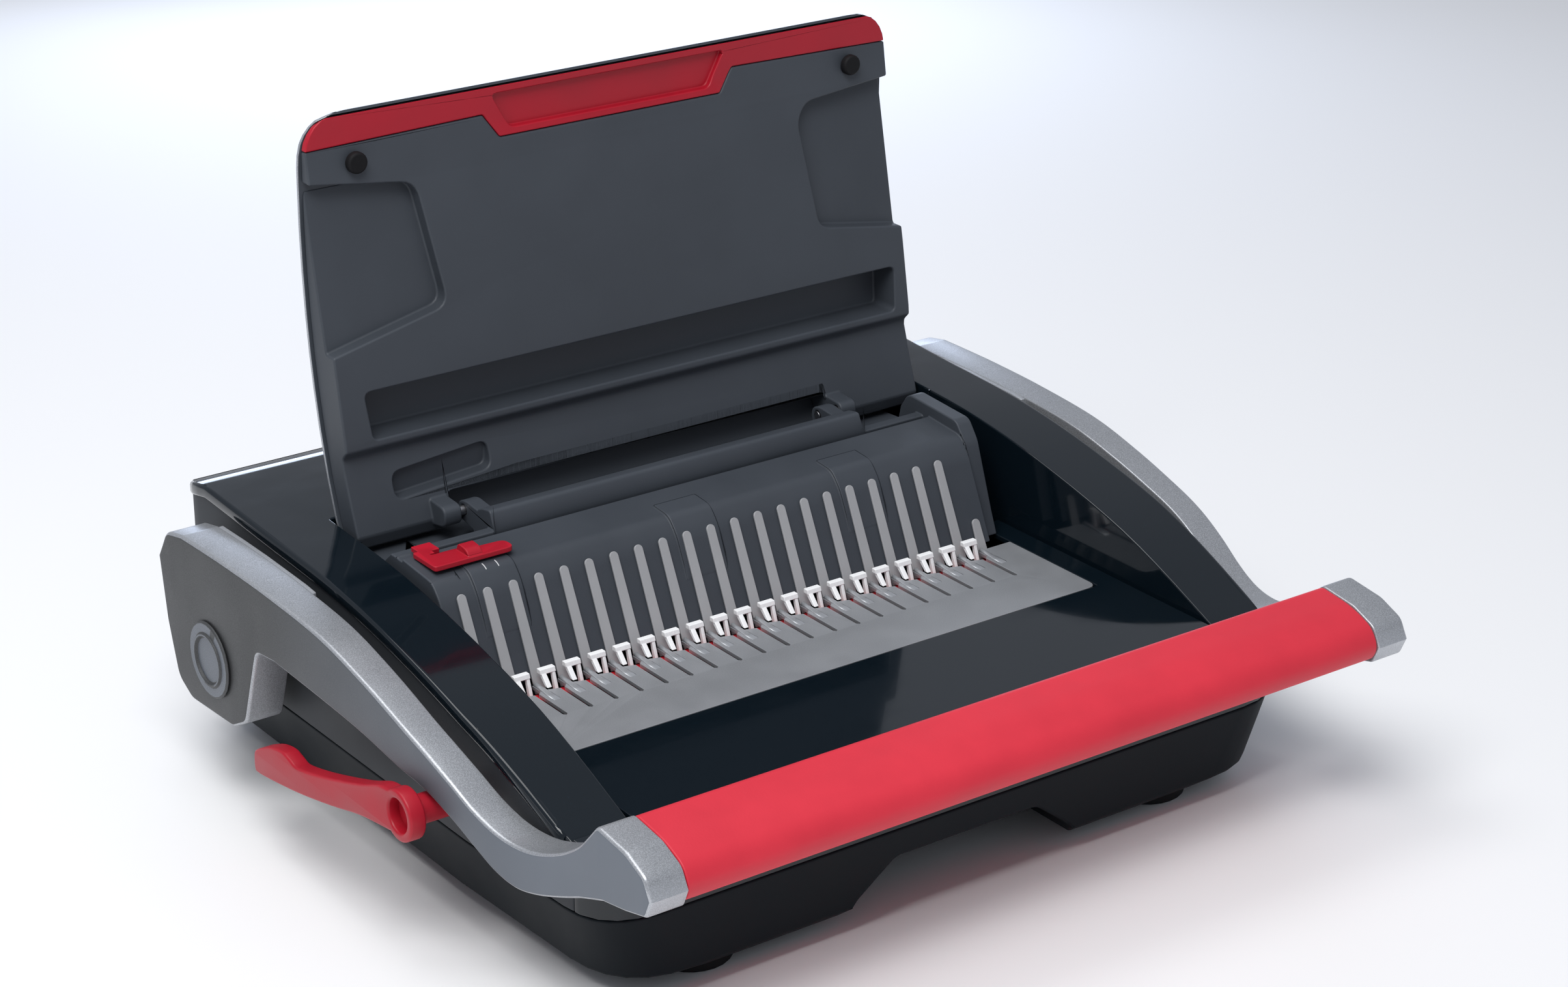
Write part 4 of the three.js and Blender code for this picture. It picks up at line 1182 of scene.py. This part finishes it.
@dataclass
class ArmShape:
    """Sizes of one handle arm, in millimetres off the machine's middle plane and its datum."""

    outer: float = 234.2
    inner: float = 217.0
    splay: float = 0.02
    cap_outer: float = 219.2
    cap_inner: float = 199.8
    bend: Pair = (-10.0, -146.0)
    outer_round: float = 2.0
    inner_round: float = 0.9
    round_steps: int = 4
    curve_steps: int = 8
    station_gap: float = 0.45
    hub_rear: Corner = (217.5, 30.0)
    nose: Corner = (-188.9, 12.0)
    hub_top: tuple[Corner, ...] = ((208.0, 45.4, 9.0), (192.0, 48.5))
    crest: tuple[Corner, ...] = (
        (192.0, 48.5), (170.0, 48.8), (145.0, 48.8), (107.0, 47.7), (61.0, 44.2), (26.0, 37.0),
        (-4.0, 28.6), (-27.0, 21.0), (-46.0, 12.5), (-62.0, 4.0), (-76.0, -1.2), (-90.0, -2.8),
        (-104.0, -0.8), (-120.0, 5.6), (-133.0, 14.0), (-141.0, 22.0),
    )
    grip_top: tuple[Corner, ...] = ((-148.5, 30.4, 4.5), (-170.0, 27.5, 16.0), (-184.0, 21.5, 8.0))
    grip_low: tuple[Corner, ...] = ((-185.0, 3.0, 4.0), (-169.0, -1.0, 8.0), (-152.0, -4.0, 8.0))
    belly: tuple[Corner, ...] = (
        (-134.0, -10.6), (-120.0, -16.5), (-104.0, -22.0), (-90.0, -24.3), (-76.0, -21.5), (-62.0, -14.5),
        (-46.0, -6.0), (-27.0, 1.0), (-4.0, 4.0), (26.0, 8.2), (61.0, 11.0), (104.0, 13.5),
    )
    hub_low: tuple[Corner, ...] = (
        (121.0, 12.0, 6.0), (127.0, -5.0), (136.0, -31.0, 10.0), (150.0, -38.5, 10.0), (192.0, -39.5, 10.0),
        (205.0, -32.0, 12.0), (213.0, -4.0, 14.0),
    )

    def curve_in(self, y: float) -> float:
        """How far the arm has curved in towards the grip, from 0 to 1."""
        t = min(1.0, max(0.0, (self.bend[0] - y) / (self.bend[0] - self.bend[1])))
        return t * t * (3 - 2 * t)

    def outer_at(self, y: float) -> float:
        """The outer face's distance from the middle plane."""
        t = self.curve_in(y)
        return self.outer + self.splay * y * (1 - t) - (self.outer - self.cap_outer) * t

    def inner_at(self, y: float) -> float:
        """The inner face's distance from the middle plane."""
        return self.inner - (self.inner - self.cap_inner) * self.curve_in(y)

    def profile(self) -> tuple[list[Vector], int]:
        """The side outline.

        Returns:
            Its (y, z) points, top first, and how many stations it has along Y.
        """
        top = soft_corners([self.hub_rear, *self.hub_top]) + smooth_path(self.crest)[1:]
        top = top[:-1] + soft_corners([self.crest[-1], *self.grip_top, self.nose], self.curve_steps)
        low = soft_corners([self.nose, *self.grip_low, self.belly[0]], self.curve_steps)[:-1]
        low += smooth_path(self.belly)
        low += soft_corners([self.belly[-1], *self.hub_low, self.hub_rear], self.curve_steps)[1:]
        low.reverse()
        places: list[float] = []
        for y in sorted({point[0] for point in top + low}, reverse=True):
            if not places or places[-1] - y > self.station_gap:
                places.append(y)
        places[-1] = self.nose[0]
        high = [Vector((y, self.height(top, y))) for y in places]
        deep = [Vector((y, self.height(low, y))) for y in places[1:-1]]
        return high + deep[::-1], len(places)

    @staticmethod
    def height(chain: Sequence[Corner], y: float) -> float:
        """The height of a chain of points.

        Args:
            chain: (y, z) points, which run forwards.
            y: the place along Y.
        Returns:
            The chain's height there.
        """
        for (y0, z0), (y1, z1) in zip(chain, chain[1:]):
            if y0 >= y >= y1 and y0 > y1:
                return z0 + (z1 - z0) * (y0 - y) / (y0 - y1)
        return chain[-1][1]

    def mesh(self, name: str, side: int) -> bpy.types.Mesh:
        """The arm's mesh.

        Args:
            name: the mesh's name.
            side: -1 for the left arm and 1 for the right one.
        Returns:
            A closed mesh with soft edges, its faces pointing out.
        """
        points, stations = self.profile()
        count = len(points)
        inward = []
        for i, point in enumerate(points):
            along = points[(i + 1) % count] - points[i - 1]
            inward.append(Vector((-along.y, along.x)).normalized())
        if sum(a.x * b.y - a.y * b.x for a, b in zip(points, points[1:] + points[:1])) < 0:
            inward = [-way for way in inward]
        levels = []
        for is_outer, size in ((False, self.inner_round), (True, self.outer_round)):
            for i in range(self.round_steps + 1):
                turn = math.pi / 2 * (i if is_outer else self.round_steps - i) / self.round_steps
                levels.append((is_outer, size * (1 - math.sin(turn)), size * (1 - math.cos(turn))))
        shape = bmesh.new()
        rings = []
        for is_outer, depth, inset in levels:
            ring = []
            for point, way in zip(points, inward):
                spot = point + way * inset
                x = self.outer_at(spot.x) - depth if is_outer else self.inner_at(spot.x) + depth
                ring.append(shape.verts.new(Datum.at(side * x, spot.x, spot.y)))
            rings.append(ring)
        join_rings(shape, rings)
        for ring in (rings[0], rings[-1]):
            for j in range(stations - 1):
                low_a, low_b = ring[(count - j) % count], ring[count - j - 1]
                corners = [ring[j], ring[j + 1], low_b, low_a]
                shape.faces.new([v for i, v in enumerate(corners) if v not in corners[:i]])
        return mesh_of(shape, name)


@dataclass
class Handle:
    """Silver arms, red grip, pivot discs and the shaft with its cams."""

    disc_radius_mm: float = 9.6
    ledge: tuple[Corner, ...] = (
        (98.0, 40.5), (98.0, 46.6), (107.0, 47.4), (145.0, 48.5), (170.0, 48.6), (192.0, 48.3), (192.0, 40.5),
    )
    ledge_inner_mm: float = 214.7
    ledge_lap_mm: float = 1.5
    outwards: float = 0.93

    def build(self) -> None:
        """Builds and dresses the handle."""
        for side, sign in (("left", -1), ("right", 1)):
            self.build_arm(side, sign)
            extra = [(Finish.DISC, self.in_disc)]
            # The cap's ring takes the darker copy of the silver: painted shade.
            remake(f"pivot_cap_{side}", f"pivot_disc_{side}", Finish.SILVER_SHADED_SIDE, "handle", 0.3, extra=extra)
        remake("handle_grip", "red_grip", Finish.GRIP, "handle", 0.9, 3)
        make_steel("handle_shaft", "cam_left", "cam_right")

    def build_arm(self, side: str, sign: int) -> None:
        """Builds one arm and the ledge along its inner top edge.

        Args:
            side: "left" or "right", as in the pieces' names.
            sign: -1 for the left arm and 1 for the right one.
        """
        arm, name = ArmShape(), f"handle_arm_{side}"
        item = shade(link(name, arm.mesh(name, sign)), 40.0)
        # Faces turned outwards take the darker copy of the silver: painted shade.
        dress(item, Finish.SILVER, [(Finish.SILVER_SHADED_SIDE, lambda _, normal: normal.x * sign > self.outwards)])
        place(item, "handle", f"arm_{side}")
        points = [(Datum.at(0, y, 0).y, Datum.at(0, 0, z).z) for y, z in self.ledge]
        ends = [Datum.at(sign * x, 0, 0).x for x in (self.ledge_inner_mm, arm.inner + self.ledge_lap_mm)]
        ledge = rounded(prism(f"arm_ledge_{side}", points, *ends, Run.X), 0.5)
        dress(ledge, Finish.SILVER)
        place(ledge, "handle")

    def in_disc(self, centre: Vector, normal: Vector) -> bool:
        """Tells the disc in the middle of a pivot cap from the ring round it.

        Args:
            centre: the middle of a face.
            normal: the face's direction.
        Returns:
            True on the disc.
        """
        low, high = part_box("pivot_cap_left")
        middle = (low + high) / 2
        return math.hypot(centre.y - middle.y, centre.z - middle.z) < self.disc_radius_mm * MM


@dataclass
class SideLever:
    """The red lever that opens the comb, with its shaft and pinion."""

    y_mm: float = -26.5
    z_mm: float = -8.8
    boss_mm: float = 12.5
    boss_start: float = 60.0
    boss_turn: float = 235.0
    boss_pieces: int = 24
    dimple_mm: float = 8.3
    round_pieces: int = 32
    edge_mm: float = 1.3
    faces_mm: Pair = (-246.0, -237.8)
    plug_mm: float = 9.4
    plug_depth_mm: float = 2.4
    plug_proud_mm: float = 0.3
    sleeve_mm: float = 7.0
    sleeve_end_mm: float = -209.5
    blade: tuple[Pair, ...] = (
        (-20.0, -19.4), (8.0, -23.6), (36.0, -30.6), (66.0, -37.2), (92.0, -41.6), (108.0, -43.6),
        (111.6, -42.0), (111.4, -34.0), (108.6, -31.0), (101.0, -27.0), (92.0, -23.4), (82.0, -21.6),
        (75.0, -23.0), (68.0, -24.2), (50.0, -20.2), (28.0, -13.8), (6.0, -6.6), (-10.0, -0.2), (-19.0, 1.3),
    )

    def build(self) -> None:
        """Builds and dresses the lever."""
        turns = [self.boss_start + i * self.boss_turn / self.boss_pieces for i in range(self.boss_pieces + 1)]
        boss = [self.on_circle(self.boss_mm, math.radians(turn)) for turn in turns]
        outline = smooth_path(self.blade, 5) + boss
        hole = [self.on_circle(self.dimple_mm, -turn) for turn in self.full_turn()]
        spots = [[(Datum.at(0, y, 0).y, Datum.at(0, 0, z).z) for y, z in path] for path in (outline, hole)]
        ends = [Datum.at(x, 0, 0).x for x in self.faces_mm]
        lever = shade(plate("red_side_lever", spots, *ends, self.edge_mm))
        dress(lever, Finish.RED)
        place(lever, "lever", "comb_lever")
        sleeve = self.sleeve()
        dress(sleeve, Finish.RED)
        place(sleeve, "lever")
        make_steel("lever_shaft", "lever_pinion")

    def full_turn(self) -> list[float]:
        """Even angles all the way round."""
        return [i * math.tau / self.round_pieces for i in range(self.round_pieces)]

    def on_circle(self, radius: float, turn: float) -> Pair:
        """A point round the lever's pivot, turned from +Y towards +Z."""
        return self.y_mm + radius * math.cos(turn), self.z_mm + radius * math.sin(turn)

    def sleeve(self) -> Piece:
        """The tube from the lever to the housing, closed by the floor of the lever's dimple.

        Returns:
            The tube.
        """
        face = self.faces_mm[1]
        rows = [(face - self.plug_depth_mm, self.plug_mm), (face - self.plug_proud_mm, self.plug_mm),
                (face - self.plug_proud_mm, self.sleeve_mm), (self.sleeve_end_mm, self.sleeve_mm)]
        rings = [[Datum.at(x, *self.on_circle(radius, t)) for t in self.full_turn()] for x, radius in rows]
        return shade(link("lever_sleeve", loft("lever_sleeve", rings)))


@dataclass
class ChipDrawer:
    """The tray that catches the paper chips."""

    edge_mm: float = 0.6

    def build(self) -> None:
        """Builds and dresses the drawer."""
        remake("chip_drawer", "chip_tray", Finish.BASE, "drawer", self.edge_mm)


@dataclass(frozen=True)
class SoftBox:
    """A rectangular soft light: where it hangs and its width and height in metres, its watts and colour."""

    name: str
    spot: Point
    size: Pair
    power: float
    tint: Colour = (1.0, 1.0, 1.0)

    def hang(self, target: Vector) -> None:
        """Adds the light to the scene.

        Args:
            target: what it points at.
        """
        data = bpy.data.lights.new(self.name, "AREA")
        data.shape = "RECTANGLE"
        data.size, data.size_y = self.size
        data.energy, data.color = self.power, self.tint
        lamp = link(self.name, data)
        lamp.location = self.spot
        point_along(lamp, target - Vector(self.spot))


def point_along(item: Piece, way: Vector) -> None:
    """Turns a camera or a light so that it looks along a direction."""
    item.rotation_mode = "QUATERNION"
    item.rotation_quaternion = way.to_track_quat("-Z", "Y")


@dataclass
class Studio:
    """Camera, soft lights and a pale floor."""

    azimuth: float = -36.0
    elevation: float = 22.6
    camera_mm: Point = (-900.2, -1219.5, 708.3)
    lens: float = 78.64
    sensor: float = 36.0
    floor_size: float = 9.0
    floor_colour: Colour = (0.92, 0.92, 0.92)
    sky_colour: Colour = (0.86, 0.90, 1.0)
    sky_strength: float = 0.38
    centre: Point = (0.0, 0.0, 0.1)
    lights: tuple[SoftBox, ...] = (
        SoftBox("key_left", (-0.9, -0.7, 1.9), (1.4, 1.0), 30.0),
        SoftBox("overhead", (-0.4, 0.5, 2.0), (0.9, 1.2), 12.0),
        SoftBox("rear_right", (0.75, 1.45, 0.42), (0.9, 0.36), 5.0, (0.70, 0.80, 1.0)),
    )

    def build(self) -> None:
        """Sets up the studio."""
        bpy.context.scene.view_settings.view_transform = "Standard"
        self.camera()
        self.floor()
        self.sky()
        for light in self.lights:
            light.hang(Vector(self.centre))

    def camera(self) -> None:
        """The camera, high and to the left of the machine's front."""
        a, e = math.radians(self.azimuth), math.radians(self.elevation)
        back = Vector((math.sin(a) * math.cos(e), -math.cos(a) * math.cos(e), math.sin(e)))
        data = bpy.data.cameras.new("camera")
        data.lens, data.sensor_width = self.lens, self.sensor
        camera = link("camera", data)
        camera.location = Datum.at(*self.camera_mm)
        point_along(camera, -back)
        bpy.context.scene.camera = camera

    def floor(self) -> None:
        """A pale matt floor far wider than the view."""
        bpy.ops.mesh.primitive_plane_add(size=self.floor_size)
        floor = bpy.context.object
        floor.name = "studio_floor"
        recipe = Recipe("studio_floor")
        recipe.set(Base_Color=(*self.floor_colour, 1.0), Roughness=0.95)
        floor.data.materials.append(recipe.done())

    def sky(self) -> None:
        """Even light from all round."""
        world = bpy.data.worlds.new("studio")
        bpy.context.scene.world = world
        world.use_nodes = True
        back = world.node_tree.nodes["Background"]
        back.inputs["Color"].default_value = (*self.sky_colour, 1.0)
        back.inputs["Strength"].default_value = self.sky_strength


def main() -> None:
    """Builds the studio and every sub-assembly."""
    logging.basicConfig(level=logging.INFO, format="%(message)s")
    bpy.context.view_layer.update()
    for assembly in (Studio, Housing, PunchBlock, CombRow, Lid, Handle, SideLever, ChipDrawer):
        assembly().build()
        LOG.info("built %s", assembly.__name__)
    bpy.context.view_layer.update()


if __name__ == "__main__":
    main()
